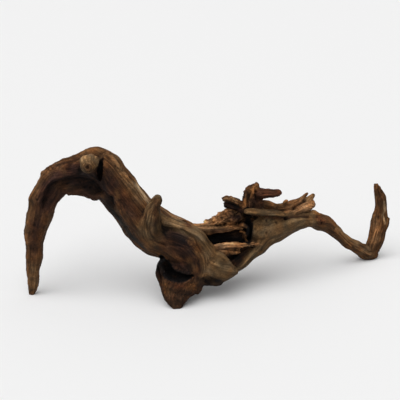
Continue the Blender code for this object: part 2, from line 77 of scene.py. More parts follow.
# Each limb is a list of stations: across, away, up, half width as seen from the front, half depth.
LIMBS = {
    "left_leg": [
        (-163, 34, -2, 2.5, 3), (-163, 34, 2, 3.5, 3.6), (-162, 34, 7, 5, 4.8), (-160, 34, 16, 6.5, 5.8),
        (-159, 34, 29, 8, 7.5), (-157, 34, 47, 9, 9.5), (-155, 34, 65, 10, 11), (-152, 35, 81, 12, 13),
        (-148, 36, 97, 13.5, 14), (-144, 38, 110, 14, 15), (-137, 40, 121, 15, 15.5),
        (-129, 42, 131, 17.5, 16), (-119, 45, 134.5, 19.5, 17), (-108, 48, 136, 22, 18),
        (-96, 51, 137, 26.5, 19), (-85, 52, 137, 27.5, 19), (-76, 50, 129, 25, 18.5),
    ],
    "trunk": [
        (-85, 46, 147, 20, 18), (-78, 45, 141, 21, 19.5), (-71, 43, 132, 21, 20.5),
        (-63, 41, 122, 21.5, 21), (-54, 40, 110, 21.5, 22), (-45, 38, 98, 21, 23.5),
        (-35, 37, 84, 23.5, 25), (-22, 37, 72, 24.5, 26), (-7, 37, 61, 21.5, 26), (9, 38, 49, 22, 26),
    ],
    "belly": [
        (-28, 27, 72, 9, 11), (-14, 24, 71, 12.5, 12), (1, 22, 68, 15.5, 12.5), (15, 22, 59, 19, 13),
        (21, 21, 44, 17.5, 12.5), (21, 19, 30, 13, 11),
    ],
    "back_ridge": [
        (-52, 50, 106, 4, 4), (-45, 53, 104, 7, 6.5), (-38, 55, 100, 9.5, 9), (-21, 56, 88, 9, 9),
        (-5, 58, 79, 7.5, 8), (7, 59, 73, 6.5, 7), (15, 60, 69, 5.5, 6),
    ],
    "shelf": [
        (11, 60, 68, 5.5, 6), (24, 60, 69, 5.5, 7), (35, 62, 67, 6.5, 7), (50, 63, 68, 4, 7),
        (62, 64, 70, 3, 7), (75, 64, 70, 2.5, 8),
    ],
    "rim": [
        (-20, 29, 92, 7, 8), (-11, 26, 88, 7, 8), (0, 24, 85, 6.5, 8), (11, 23, 81, 6.5, 8.5),
        (21, 22, 75, 7, 9), (29, 22, 66, 7, 9), (35, 22, 57, 7, 8.5), (40, 23, 48, 7.5, 8),
        (45, 24, 38, 7.5, 8),
    ],
    "thumb": [
        (-3, 24, 63, 12.5, 9), (-16, 21, 70, 13, 10.5), (-25, 19, 79, 13.5, 11), (-27, 17, 90, 12, 11),
        (-25, 16, 100, 9.5, 9.8), (-23, 15, 108, 7.5, 8.6), (-20, 14, 115, 6, 7.4),
        (-19, 13, 120, 5, 5.6), (-19, 12, 123, 2.5, 3),
    ],
    "foot": [
        (0, 0, -1, 4.5, 5.5), (0, 2, 3, 8, 7.5), (0, 4, 8, 12.5, 11), (0, 7, 12, 15.5, 13),
        (1, 10, 17, 18.5, 15), (3, 14, 23, 21, 17), (7, 20, 28, 23.5, 19.5), (8, 27, 35, 18.5, 20),
    ],
    "loop": [
        (30, 26, 43, 10, 8), (38, 22, 39.5, 18, 10), (48, 22, 34.5, 16, 9.5), (57, 27, 31, 10, 8.5),
        (64, 33, 30, 5, 7),
    ],
    "right_trunk": [
        (57, 34, 24, 4, 8), (66, 40, 29, 4, 9), (74, 45, 34, 4.5, 10), (82, 50, 41, 6, 11.5),
        (91, 56, 49, 9.5, 13), (102, 62, 60.5, 13.5, 14), (123, 76, 66.5, 13.5, 13),
        (142, 90, 68, 10.5, 12), (158, 99, 66, 9, 10), (171, 105, 59, 9.5, 9),
    ],
    "bright_fin": [
        (75, 37, 97, 1.5, 3), (78, 38, 97, 2.5, 5), (85, 43, 95, 2.5, 7), (96, 50, 92, 2, 8),
        (108, 60, 88, 2, 8), (122, 72, 83, 1.5, 7),
    ],
    "horn": [
        (87, 66, 84, 12, 10), (85, 66, 95, 11.5, 10), (85, 66, 104, 10, 9), (85, 65, 112, 8, 7.5),
        (88, 65, 116, 5, 5), (90, 65, 120, 2, 2.4),
    ],
    "beak": [
        (87, 64, 111, 6, 7), (95, 62, 110, 5.5, 6.5), (103, 60, 110.5, 5, 5.5), (109, 58, 111, 4.5, 5),
        (114, 57, 112, 4, 4), (116, 56, 112, 2, 2.5),
    ],
    "upper_splinter": [
        (85, 72, 89, 9, 9), (99, 76, 90, 7.5, 8), (113, 82, 87, 6, 7), (128, 90, 86, 4.5, 6),
        (141, 98, 89, 3.5, 5), (149, 104, 94, 2, 3), (152, 106, 96, 1, 1.5),
    ],
    "lower_splinter": [
        (104, 76, 80, 4.5, 7), (123, 84, 79, 6.5, 8.5), (138, 91, 81, 7.5, 8.5), (149, 97, 84, 7, 7.5),
        (157, 101, 84, 5, 5), (161, 103, 82, 1.5, 2.5),
    ],
    "splinter_tip": [
        (143, 94, 83, 3.5, 5), (152, 99, 89, 3.5, 4), (157, 102, 93, 2.5, 3), (159, 103, 96, 1, 1.5),
    ],
    "right_arm": [
        (143, 92, 69, 9.5, 11), (159, 99, 65, 8.5, 10), (173, 105, 59, 10, 9), (183, 110, 51, 8, 8.5),
        (194, 115, 41, 7, 7.5), (206, 121, 29, 7, 7), (221, 129, 18, 7.5, 7.5), (234, 136, 8, 9, 8),
        (246, 141, 8, 8.5, 7),
    ],
    "upturned_tip": [
        (238, 138, 6, 8, 8), (244, 141, 17, 10, 8), (248, 144, 32, 10.5, 8), (251, 147, 46, 11, 8),
        (251, 149, 59, 8, 7), (250, 150, 74, 7, 6), (246, 151, 85, 5.5, 4.5), (243, 151, 94, 2.5, 2),
    ],
    "chunk": [
        (32, 66, 74, 2, 4), (38, 67, 73, 2.5, 7), (46, 67, 76, 5, 9.5), (55, 67, 80, 8, 11),
        (65, 67, 82, 9, 10), (71, 66, 81, 7, 8),
    ],
    "flake": [
        (51, 54, 106, 1.5, 5), (57, 56, 106, 2, 7), (64, 60, 102, 2, 8), (71, 64, 97, 2.5, 8),
        (78, 66, 90, 5, 8),
    ],
    "flake_back": [
        (54, 68, 95, 3.5, 4), (64, 69, 94, 5.5, 4.5), (78, 70, 90, 7, 6),
    ],
    "flake_wall": [
        (53, 60, 99, 2, 5), (60, 61, 97, 4, 6), (66, 62, 95, 4, 6), (73, 64, 91, 4.5, 6),
    ],
    "tongue": [
        (29, 28, 59, 3.5, 8), (42, 33, 57, 2.5, 6), (57, 38, 57, 3, 6), (71, 43, 55, 2.5, 6),
        (83, 47, 55, 2, 7), (94, 50, 56, 1.5, 5),
    ],
    "under_tongue": [
        (34, 30, 56, 3.5, 7), (47, 34, 53, 3.5, 7), (59, 39, 50, 3.5, 7), (70, 43, 49, 3, 6),
    ],
    "back_wall": [
        (-6, 52, 58, 4, 5), (2, 57, 57, 8.5, 7), (10, 62, 54, 12.5, 9), (31, 68, 52, 16, 8),
        (51, 71, 51, 17.5, 8), (70, 72, 53, 18.5, 8), (86, 72, 60, 19.5, 9), (102, 76, 66, 15, 9),
        (113, 79, 67, 11.5, 8), (122, 80, 67, 7, 6),
    ],
    "trough_floor": [
        (22, 40, 32, 9, 20), (40, 44, 27, 9, 20), (58, 50, 30, 9, 18), (76, 58, 41, 9, 16),
        (90, 64, 49, 9, 12),
    ],
    "knob": [
        (-92, 44, 152, 9, 6), (-91, 35, 155, 10, 7), (-91, 27, 156, 10, 7.5), (-90, 19, 155, 9, 7.5),
        (-89, 12, 153.5, 7, 6.5), (-89, 8, 152, 4.5, 4.5),
    ],
    "face": [
        (86, 54, 72, 12.5, 9), (90, 56, 70, 16.5, 12), (98, 61, 69, 17.5, 13), (110, 69, 70, 15.5, 13),
        (125, 80, 71, 10.5, 11), (140, 90, 71, 7.5, 9),
    ],
    "rear": [
        (67, 78, 86, 5.5, 5), (77, 79, 82, 8, 6), (86, 80, 79, 9, 6), (97, 80, 79, 8, 6),
    ],
    "snag": [
        (153, 96, 73, 3, 4), (160, 97, 75, 3, 3.5), (166, 99, 73, 2.5, 3), (170, 101, 69, 2, 3),
    ],
    "splinter_snag": [
        (122, 82, 92, 1.5, 2.5), (125, 82, 94, 2, 2.5), (127, 82, 95, 1, 1.5),
    ],
    "leg_snag": [
        (-138, 38, 143, 1.5, 3), (-143, 37, 141, 1.5, 2.2), (-145, 36, 139, 0.5, 1.2),
    ],
    "tip_snag": [
        (259, 148, 48, 3, 3), (262, 148, 49, 2.5, 2.5), (263, 148, 51, 1, 1.2),
    ],
    "knuckle": [
        (157, 94, 69, 4, 6), (164, 97, 67, 6, 7), (171, 100, 65, 6, 7.5), (178, 103, 62, 5, 7),
        (185, 105, 56, 3.5, 6),
    ],
    "web": [
        (-98, 45, 116, 3.5, 7), (-93, 44, 115, 3.5, 8), (-87, 42, 114, 4, 9), (-83, 40, 116, 3, 9),
        (-79, 38, 114, 2.5, 8),
    ],
    "notch_floor": [
        (25, 18, 21, 3.5, 6), (33, 21, 20, 3.5, 7), (40, 23, 20, 3.5, 7), (48, 24, 21, 3.5, 7),
    ],
}

# The hollows are lofts of the same kind, cut out of the fused limbs.
HOLLOWS = {
    "mouth": [
        (-16, 8, 53, 2.5, 16), (-14, 8, 47, 5.5, 22), (-11, 8, 41, 6.5, 22), (-5, 7, 37, 6, 18),
        (3, 6, 34, 4.5, 14), (11, 5, 33, 3, 11), (18, 4, 34, 1.5, 8),
    ],
    "leg_fold": [
        (-78, 33, 164, 1, 6), (-77, 29, 160, 1.5, 8), (-78, 26, 156, 2, 9), (-79, 26, 149, 2.5, 8),
        (-80, 27, 142, 2, 6), (-80, 29, 136, 1, 4),
    ],
    "gap": [
        (79, 58, 92, 3, 12), (79, 57, 86, 4.5, 14), (80, 57, 77, 5, 15), (80, 56, 66, 5, 14),
        (80, 56, 57, 3.5, 11),
    ],
    "recess": [
        (-140, 20, 98, 2, 3), (-138, 20, 106, 4.5, 6), (-135, 21, 115, 7, 8), (-129, 23, 124, 9, 9),
        (-119, 26, 128, 10, 9.5), (-108, 28, 129, 10.5, 10), (-97, 30, 127, 10.5, 10),
        (-88, 32, 124, 9, 9), (-80, 34, 121, 4.5, 6),
    ],
}

# Slivers and thin walls that are fused in after the hollows are cut.
INSERTS = {
    "curl": [
        (70, 60, 72, 2, 2.5), (75, 57, 74, 2, 3), (80, 55, 71, 2, 3), (80, 55, 65, 2, 2.5),
        (77, 56, 60, 1.5, 2.5), (79, 57, 55, 1.5, 2.5),
    ],
    "curl_two": [
        (71, 62, 65, 1.5, 3), (76, 60, 64, 2, 3), (75, 60, 57, 1.5, 3),
    ],
    "lip": [
        (-10, 20, 50, 1.5, 7), (-15, 17, 48, 1.5, 8), (-19, 15, 44, 1.5, 8), (-20, 13, 38, 1.5, 8),
        (-18, 12, 30, 1.5, 8), (-14, 12, 21, 2.5, 7),
    ],
    "mouth_back": [
        (-17, 37, 38, 4, 5), (-14, 37, 33, 8, 7), (-8, 37, 26, 10, 8), (1, 36, 19, 10, 9),
    ],
}

# A dent is a round dip: its middle on the surface, its radius and its depth.
DENTS = {
    "saddle_left": ((-11, 17, 79), 8, 0.8),
    "saddle_middle": ((1, 16, 77), 8, 2),
    "saddle_right": ((10, 14, 73), 7, 1.8),
    "knob_pit": ((-89, 6, 155), 2.4, 3.5),
    "under_knob": ((-100, 32, 140), 7, 3),
    "trunk_back": ((-39, 45, 127), 9, 2.5),
    "ridge_pit": ((-71, 24, 115), 2.5, 3),
    "shelf_dip": ((66, 57, 72), 3, 2),
    "belly_notch": ((38, 13, 25), 4.5, 4),
}

# A crack is a line of points on the surface, with its half width and its depth.
CRACKS = {
    "splinter_crack": ([(123, 65, 86), (137, 88, 86), (148, 96, 90)], 1.6, 5),
    "trunk_crack": ([(123, 68, 78), (137, 78, 76), (151, 86, 73)], 1.5, 2.5),
    "fold_valley": ([(-82, 30, 143), (-80, 33, 132), (-73, 25, 120), (-69, 24, 108)], 4.5, 3.5),
    "ridge_hollow": ([(-68, 29, 109), (-67, 26, 113), (-68, 22, 117)], 3, 5.5),
    "under_knob": ([(-113, 31, 148), (-104, 31, 146)], 6, 4),
    "chunk_one": ([(40, 59, 77), (50, 60, 87)], 1.3, 3),
    "chunk_two": ([(48, 56, 79), (53, 56, 85), (60, 60, 91)], 1.4, 3.5),
    "chunk_three": ([(56, 54, 80), (62, 55, 86), (68, 60, 88)], 1.6, 4),
    "knuckle_line": ([(162, 93, 71), (167, 92, 67), (171, 92, 60)], 1.3, 2),
    "thumb_groove": ([(-31, 9, 103), (-31, 7, 88), (-24, 6, 77), (-10, 9, 68)], 1.4, 1.5),
    "belly_groove": ([(-33, 12, 78), (-18, 9, 71), (-3, 9, 68), (10, 11, 66)], 1.2, 1.5),
    "rim_groove": ([(6, 15, 84), (20, 13, 75), (27, 11, 60)], 1.3, 1.5),
    "tip_groove": ([(246, 140, 34), (247, 142, 52), (246, 143, 68)], 1.2, 1.5),
    "horn_slit": ([(88, 58, 118), (87, 57, 108), (90, 57, 101)], 1.3, 3.5),
    "horn_groove": ([(82, 57, 112), (78, 58, 102), (79, 58, 95)], 1.2, 2.5),
    "arm_groove": ([(176, 95, 55), (192, 105, 42), (207, 113, 26)], 1.2, 1.5),
    "arm_groove_two": ([(184, 104, 52), (199, 111, 39), (214, 117, 23)], 1.0, 1.2),
}

# Small round pits, black inside: the middle of each on the surface, and its radius.
PITS = [
    ((-90, 8, 156), 2.2), ((-82, 13, 157), 1.2), ((-64, 33, 149), 1.5), ((-62, 34, 147), 1.2),
    ((-49, 39, 134), 1.4), ((-57, 38, 143), 1.0), ((-58, 19, 116), 1.0), ((-98, 39, 125), 1.6),
    ((-92, 39, 123), 1.3), ((-148, 25, 114), 1.3), ((-152, 23, 86), 1.2), ((-131, 34, 146), 1.4),
    ((100, 52, 81), 1.2), ((100, 47, 68), 1.2), ((112, 57, 77), 1.5), ((104, 49, 55), 0.9),
    ((95, 45, 49), 1.0), ((41, 14, 47), 0.9), ((67, 57, 91), 1.8), ((50, 57, 83), 1.3),
    ((62, 55, 86), 1.5), ((88, 58, 114), 1.6), ((80, 58, 108), 1.2),
]

# Knots: the middle of the rings on the surface, how far they reach and how far apart they lie.
KNOTS = {
    "knob": ((-90, 7, 155), 8, 2.8),
    "knuckle": ((168, 91, 66), 7, 3.0),
    "belly": ((16, 12, 70), 6, 2.8),
}

# Patches of broken wood: a line on the surface, how far it reaches, and how high its crumbs are.
BROKEN = {
    "shoulder": ([(-134, 35, 144), (-117, 38, 150)], 7, 0.8),
    "warts": ([(-70, 45, 158), (-50, 32, 133)], 7, 0.7),
    "foot": ([(-10, 0, 22), (6, -3, 16)], 9, 0.5),
    "trunk_under": ([(-72, 30, 106), (-50, 25, 76)], 7, 0.6),
    "flake": ([(52, 52, 107), (64, 55, 102)], 5, 0.6),
}

# Patches of colour in places: the stain, a line on the surface, its reach and its strength. Some are the
# wood's own stains; those marked below and those named shade are painted shade or painted highlight.
PATCHES = {
    # Painted shade: the recess under the arch is tinted dark plum for the shade there.
    "leg_recess": (
        "plum", [(-139, 25, 112), (-134, 28, 132), (-122, 30, 141), (-104, 33, 135), (-86, 35, 130)],
        10, 0.95,
    ),
    "knob_shade": ("blue_black", [(-108, 31, 148), (-104, 32, 143), (-96, 31, 140)], 6.5, 0.95),
    # Painted highlight: the lit outer edge of the leg.
    "leg_outer": ("tan", [(-163, 27, 74), (-160, 27, 96), (-152, 29, 118), (-141, 34, 138)], 3, 0.3),
    "shoulder": (
        "dark_umber", [(-134, 35, 144), (-125, 36, 149), (-117, 39, 151), (-108, 42, 154)],
        5, 0.7,
    ),
    "leg_inner": ("tan", [(-130, 29, 105), (-134, 28, 94), (-142, 33, 76)], 3, 0.4),
    # Painted highlight: the lit top of the arch.
    "crest": ("orange", [(-101, 49, 162), (-83, 47, 163)], 5, 0.3),
    # Painted shade and shadow: fold_deep, fold_low and fold_pit darken the fold between the leg and the
    # trunk, where the knob's shadow falls.
    "fold_deep": ("black", [(-79, 31, 158), (-80, 32, 148)], 5, 0.95),
    "fold_low": (
        "blue_black", [(-88, 31, 141), (-80, 30, 136), (-75, 25, 130), (-73, 23, 124), (-71, 28, 112)],
        5, 0.92,
    ),
    "fold_pit": ("black", [(-67, 29, 109), (-67, 27, 113), (-68, 22, 117)], 4, 1),
    # Painted highlight: the lit left edge of the trunk.
    "trunk_strip": ("orange", [(-76, 47, 160), (-74, 31, 155), (-72, 28, 148)], 3, 0.25),
    "trunk_warts": ("tan", [(-65, 44, 155), (-58, 35, 143), (-50, 28, 131), (-46, 24, 119)], 6, 0.6),
    # Painted highlight: the lit side of the trunk that faces up and right.
    "trunk_edge": ("bone", [(-41, 39, 125), (-36, 36, 119), (-32, 34, 113)], 5, 1),
    "trunk_front": (
        "deep_brown", [(-67, 24, 134), (-60, 22, 122), (-52, 18, 108), (-41, 14, 94), (-30, 12, 84)],
        9, 0.85,
    ),
    # Painted shade on the trunk's underside.
    "trunk_under": (
        "charcoal",
        [(-74, 31, 107), (-68, 29, 99), (-62, 27, 93), (-55, 25, 84), (-47, 23, 73), (-36, 20, 63)],
        6.5, 1,
    ),
    # Painted light: the lit left side of the thumb.
    "thumb_left": ("tan", [(-30, 8, 106), (-34, 9, 92), (-30, 8, 80)], 4.5, 0.95),
    "rim_grey": ("grey", [(-10, 17, 93), (3, 17, 87), (16, 11, 83), (25, 11, 73)], 5, 0.8),
    # Painted shadow under the rim.
    "saddle_dark": ("blue_black", [(-12, 19, 79), (0, 20, 76), (9, 16, 71)], 5.5, 0.85),
    "orange_patch": ("orange", [(17, 18, 71), (22, 16, 63), (25, 12, 57)], 4.5, 0.7),
    "rope": ("tan", [(32, 11, 54), (33, 11, 40), (31, 9, 29)], 5.5, 1),
    "mouth_lip": ("red_brown", [(1, 3, 47), (12, 1, 43)], 5, 0.5),
    "foot_left": ("orange", [(-12, 0, 27), (-9, -2, 19)], 4, 0.5),
    "foot_low": ("dark_umber", [(-5, -4, 12), (1, -5, 5)], 7, 0.7),
    "foot_right": ("orange", [(15, 0, 24), (23, 5, 21)], 4, 0.5),
    # Painted shade in the notch under the belly and the loop.
    "notch": ("black", [(36, 12, 24), (46, 15, 25)], 5, 1),
    "ridge_end": ("red_brown", [(9, 55, 78), (14, 21, 87)], 4, 0.9),
    "shelf_front": ("red_brown", [(40, 56, 67), (55, 55, 68)], 3.5, 0.9),
    # Painted shade: the cavity under the shelf and the crevice by the tongue are black for the shade there.
    "cavity": ("black", [(42, 62, 53), (56, 63, 56), (72, 63, 54)], 14, 1),
    "crevice": ("black", [(54, 38, 44), (68, 44, 41)], 8, 1),
    "chunk_dark": ("deep_brown", [(63, 55, 84), (70, 58, 84), (68, 58, 77)], 8, 1),
    # Painted shade under the flake.
    "flake_under": ("black", [(56, 52, 104), (61, 53, 101), (68, 57, 96), (58, 60, 95)], 3.5, 1),
    "horn_shade": ("deep_brown", [(91, 57, 110), (88, 57, 103)], 3.5, 0.9),
    # Painted shade under the fin's lower edge.
    "fin_under": ("red_brown", [(99, 53, 86), (111, 60, 82), (123, 71, 77)], 2, 0.85),
    "face_left": ("moss", [(87, 63, 81), (87, 50, 75)], 5, 0.6),
    "face_pale": ("tan", [(100, 51, 80), (100, 47, 64)], 2.5, 0.3),
    "crack_red": ("red_brown", [(128, 83, 82), (138, 93, 85), (147, 99, 88)], 1.8, 0.9),
    "groove_red": ("red_brown", [(127, 72, 78), (150, 87, 74)], 1.6, 0.8),
    "knuckle": ("red_brown", [(164, 93, 68), (169, 92, 65)], 4, 0.95),
    "arm_dark": ("dark_umber", [(172, 97, 53), (183, 110, 41)], 3, 0.2),
    "arm_band": ("orange", [(182, 100, 54), (200, 110, 36), (211, 114, 28)], 3, 0.7),
    "arm_under": ("dark_umber", [(186, 108, 38), (198, 116, 26), (217, 125, 12)], 3.5, 0.2),
    "elbow": ("grey", [(226, 123, 14), (236, 128, 16)], 5, 0.6),
    "tip_low": ("amber", [(241, 136, 25), (245, 137, 38)], 5, 0.6),
    "tip_stripe": ("bone", [(254, 144, 72), (255, 144, 62), (253, 142, 56), (256, 140, 47)], 1.4, 0.5),
    "tip_dark": ("dark_umber", [(247, 147, 86), (249, 143, 75)], 4.5, 0.6),
    # Painted shade on the underside of the arch.
    "leg_underside": (
        "plum", [(-135, 28, 104), (-122, 34, 116), (-104, 36, 116), (-88, 34, 112)],
        8, 0.7,
    ),
    "leg_low": ("tan", [(-160, 26, 12), (-158, 25, 34)], 6, 0.6),
    # Painted shade inside the mouth: its depths black and its inner wall dark brown.
    "mouth_deep": ("black", [(-19, 30, 40), (-14, 31, 34), (-6, 22, 33)], 8, 1),
    "mouth_wall": ("deep_brown", [(-6, 11, 47), (4, 9, 45), (14, 8, 43)], 6, 1),
    "ridge_top": ("bone", [(-24, 50, 96), (-8, 52, 87), (3, 54, 82)], 4, 0.3),
    "arm_tan": ("tan", [(188, 108, 53), (204, 116, 38), (218, 122, 26)], 5, 0.9),
    "horn_top": ("orange", [(82, 58, 112), (86, 58, 118), (89, 60, 118)], 4, 0.8),
    # Painted highlight along the flake's top edge.
    "flake_edge": ("tan", [(55, 52, 109), (62, 54, 107), (70, 58, 101)], 1.8, 0.7),
    "leg_shade": (
        "deep_brown", [(-137, 26, 131), (-142, 25, 118), (-144, 24, 104), (-148, 23, 86)],
        6, 0.7,
    ),
    "shoulder_pale": ("tan", [(-121, 33, 147), (-118, 32, 143)], 3, 0.3),
    "shoulder_orange": ("orange", [(-133, 35, 143), (-137, 32, 136)], 3, 0.6),
    # Painted highlight: the lit rim beside the fold.
    "fold_glow": ("orange", [(-61, 19, 119), (-62, 20, 126)], 2.5, 0.6),
    "strip_dark": ("deep_brown", [(-73, 26, 146), (-70, 24, 138), (-66, 22, 130)], 6, 0.8),
    "trunk_mottle": ("red_brown", [(-52, 19, 120), (-43, 17, 109), (-34, 11, 100)], 5, 0.5),
    # Painted shade on the trunk's underside.
    "trunk_black": ("black", [(-74, 31, 107), (-69, 29, 100), (-63, 27, 95)], 4.5, 0.6),
    "thumb_shade": ("dark_umber", [(-20, 8, 120), (-20, 6, 108), (-21, 5, 95)], 5, 0.75),
    "belly_dark": ("deep_brown", [(-15, 9, 64), (5, 10, 60)], 8, 0.6),
    "belly_spot": ("red_brown", [(16, 13, 69)], 3, 0.8),
    # Painted shade inside the mouth, under its roof and along its sill.
    "mouth_roof": ("black", [(-6, 11, 42), (1, 5, 40), (9, 4, 39), (17, 5, 38)], 3.5, 0.9),
    "mouth_sill": ("black", [(-14, -1, 30), (0, -3, 30), (12, -1, 31)], 2, 0.8),
    "foot_crack": ("red_brown", [(-4, -4, 27), (6, -4, 26), (14, -2, 26)], 2.5, 0.9),
    "chunk_pits": ("dark_umber", [(50, 57, 84), (56, 57, 90)], 2.2, 0.7),
    "horn_edge": ("orange", [(77, 59, 104), (76, 59, 97)], 2.5, 0.6),
    "knuckle_top": ("umber", [(163, 98, 75), (175, 100, 72)], 3, 0.6),
    "knob_end": ("dark_umber", [(-90, 9, 155), (-89, 7, 152)], 5, 0.85),
    # Painted highlight on the lit top of the knob.
    "knob_top": ("tan", [(-95, 28, 161), (-88, 28, 162)], 7, 0.8),
    "front_grey": ("olive", [(-38, 11, 90), (-30, 11, 76)], 5, 0.6),
    "lip_dark": ("black", [(-19, 13, 44), (-19, 12, 36), (-17, 9, 30)], 2.5, 0.8),
    "fin_top": ("tan", [(79, 36, 98), (90, 42, 96), (104, 52, 92), (120, 68, 85)], 2, 0.6),
    "face_right": ("tan", [(104, 50, 70), (116, 60, 68)], 6, 0.35),
    "elbow_pale": ("grey", [(232, 126, 5), (242, 131, 6)], 2.5, 0.5),
    "web_dark": ("black", [(-95, 39, 122), (-84, 37, 118)], 4, 0.5),
    # Painted shade under the arch, where the dents of its shadow lie.
    "arch_dark": ("deep_brown", [(-112, 34, 138), (-98, 39, 127), (-88, 36, 125)], 7, 0.8),
    # Painted shade in the fold.
    "fold_black": ("black", [(-78, 27, 136), (-74, 24, 128)], 3.5, 0.6),
    "leg_shin": ("plum", [(-151, 23, 86), (-154, 23, 69), (-155, 23, 55)], 7, 0.6),
    "bend_dark": ("dark_umber", [(-132, 39, 146), (-125, 35, 147), (-118, 33, 148)], 4, 0.6),
    "belly_right": ("umber", [(14, 10, 51), (18, 9, 46), (22, 8, 41)], 4, 0.8),
    # Painted shade in the recess left of the knob.
    "knob_left": ("plum", [(-112, 34, 146), (-105, 33, 150), (-100, 33, 151)], 4, 0.85),
    "tongue_red": ("red_brown", [(47, 29, 57), (57, 32, 56), (69, 37, 55)], 2.5, 0.5),
    "loop_right": ("grey", [(57, 18, 42), (64, 23, 33)], 5, 0.5),
    # Painted shade in the cavity under the shelf.
    "cavity_left": ("black", [(22, 62, 56), (34, 62, 58), (44, 62, 56)], 12, 0.95),
    "rim_black": ("black", [(-20, 19, 42), (-20, 6, 41)], 3.5, 0.85),
    "pit_glow": ("red_brown", [(-72, 25, 124), (-69, 21, 122)], 2.5, 0.6),
    "lobe_red": ("dark_umber", [(50, 24, 52), (62, 28, 50)], 3, 0.45),
}

# Lofts: points round a ring, how far apart the rings lie, the least half size, and how far an end's
# pole stands out as a share of the last half size.
RING_SIDES = 40
RING_GAP = 2.0
LEAST_HALF = 0.4
POLE_REACH = 0.6
# A limb that heads away from the viewer by more than this measures its width against up.
HEADS_AWAY = 0.8
# Flutes make each ring uneven: for each set, how many, how deep, and how fast they twist.
FLUTES = ((3, 0.055, 0.018), (5, 0.04, -0.036), (9, 0.025, 0.045))
# Swells are waves of random direction and length over the whole root.
SWELL_COUNT = 14
SWELL_LENGTHS = (13.0, 38.0)
SWELL_HEIGHT = 0.2
SWELL_SEED = 4
# A limb's share in a point: how fast it falls as another limb is nearer, the least share kept, and
# how far its edge wanders to and fro, over which length.
SHARE_FALL = 9.0
SHARE_LEAST = 0.03
SHARE_WANDER = 0.15
WANDER_LENGTH = 9
# The material's strands fade where two limbs are about as near: they are gone at the first
# difference of the two distances and whole at the second.
SEAM = (0.02, 0.25)
# How far apart the limbs lie in the noise, so that no two have the same grain.
GRAIN_STEP = np.array((37.0, 91.0, 53.0))

# Gradient noise: how many directions it draws, what mixes a cell's numbers, and its gain.
DIRECTIONS = 4096
MIXERS = (73856093, 19349663, 83492791)
NOISE_GAIN = 1.6

# Noise drawn out along the grain: its width, its length, its seed, and its layers if not 2.
FLUTE_NOISE = (8, 110, 11)
STRAND_NOISE = (3.4, 70, 21)
FIBRE_NOISE = (1.6, 30, 31)
STREAK_NOISE = (5, 80, 51, 3)
FINE_NOISE = (1.6, 26, 71, 3)
EDGE_NOISE = (3, 16, 61)

# Knots: how high their rings stand, and how far they shade the wood.
KNOT_HEIGHT = 0.25
KNOT_SHADE = 0.5

# Darkening along a crack towards deep brown, the wood's own dark in the fine cracks and painted shade in
# the broad creases such as the fold valley: its strength and its width as a share of the crack's, and
# stain in a pit.
CRACK_DARKENING = 0.65
CRACK_WIDTH = 0.9
PIT_STAIN = 0.95
# A hollow's painted shade is full up to the first share of the hollow's half sizes, and gone at the second.
HOLLOW_SHADE_EDGE = (0.95, 1.35)
# How far noise makes the edges of the patches ragged.
RAGGED = 0.5
# Width of the places where the hue swings.
HUE_WIDTH = 11

# Averaging rounds that measure valleys, which get painted shade, and crests, which get wear and painted
# highlight where they face up, near and far. Then for each of the two: where it begins and is full, in
# millimetres, and its weight.
NEAR_ROUNDS, FAR_ROUNDS = 6, 60
VALLEYS = ((0.1, 0.6, 0.5), (0.5, 4.0, 0.8))
CRESTS = ((0.05, 0.5, 0.45), (0.3, 2.5, 0.5))

# Brightness: its share facing down and what facing up adds, which are painted shade below and painted
# light on top, how far streaks, fine streaks and crumbs swing it, what a crest adds (wear and painted
# highlight), what a valley takes away (painted shade), and the limits of the colour.
PAINTED_SHADE_DOWN, PAINTED_LIGHT_UP = 0.55, 0.45
STREAK_SWING = 0.5
FINE_SWING = 0.6
CRUMB_SWING = 0.5
WEAR_AND_HIGHLIGHT_GAIN = 0.6
VALLEY_PAINTED_SHADE = 0.85
COLOUR_LIMITS = (0.002, 0.6)
# Least and most that the strands of the material show.
CLEAR_LIMITS = (0.4, 1.2)

# The material's noises, along the grain and in space: the scale on each axis, and the detail.
FIBRE_NOISES = {
    "strand": ((0.5, 0.5, 0.014), 4.0),
    "hair": ((0.9, 0.9, 0.05), 3.0),
    "split": ((0.26, 0.26, 0.006), 3.0),
}
PLACE_NOISES = {
    "speck": ((900.0, 900.0, 900.0), 3.0),
    "mottle": ((110.0, 110.0, 110.0), 5.0),
}
# How far from its middle a split's noise is still dark, fading out.
SPLIT_WIDTH = 0.025
# How far each swings the colour, as a power of e, and the height of the fine relief.
COLOUR_SWINGS = {"mottle": 0.36, "strand": 0.42, "hair": 0.55, "split": 0.6, "speck": 0.32}
RELIEF_SWINGS = {"strand": 0.8, "hair": 0.5, "split": 1.2, "speck": 0.3}
ROUGHNESS_SWING = 0.1
FINE_RELIEF = 0.4 * MM

# The stage: the floor's radius, rings and spokes, the height up to which the sky is brighter, the
# lamp's width and direction, and the camera's sensor in millimetres.
FLOOR_RADIUS = 12.0
FLOOR_RINGS, FLOOR_SPOKES = 12, 64
HORIZON_TOP = 0.2
LAMP_WIDTH = math.radians(70)
LAMP_FROM = (-0.35, -0.5, 1.0)
SENSOR = 36.0

# Linear colours, for the wood's own stains and also for painted shade and painted highlights; blue_black
# and charcoal serve only as painted shade.
PALETTE = {
    "black": (0.004, 0.003, 0.003),
    "blue_black": (0.013, 0.011, 0.012),
    "deep_brown": (0.020, 0.008, 0.005),
    "charcoal": (0.030, 0.025, 0.021),
    "dark_umber": (0.042, 0.018, 0.008),
    "plum": (0.036, 0.014, 0.010),
    "moss": (0.080, 0.046, 0.020),
    "umber": (0.090, 0.040, 0.015),
    "rust": (0.125, 0.056, 0.021),
    "red_brown": (0.062, 0.022, 0.010),
    "olive": (0.105, 0.060, 0.026),
    "grey": (0.150, 0.094, 0.048),
    "orange": (0.170, 0.072, 0.022),
    "amber": (0.260, 0.125, 0.052),
    "tan": (0.190, 0.104, 0.045),
    "gold": (0.380, 0.195, 0.085),
    "bone": (0.600, 0.400, 0.220),
}

# How far red, green and blue swing from place to place.
HUE_SWING = (0.16, 0.0, -0.2)

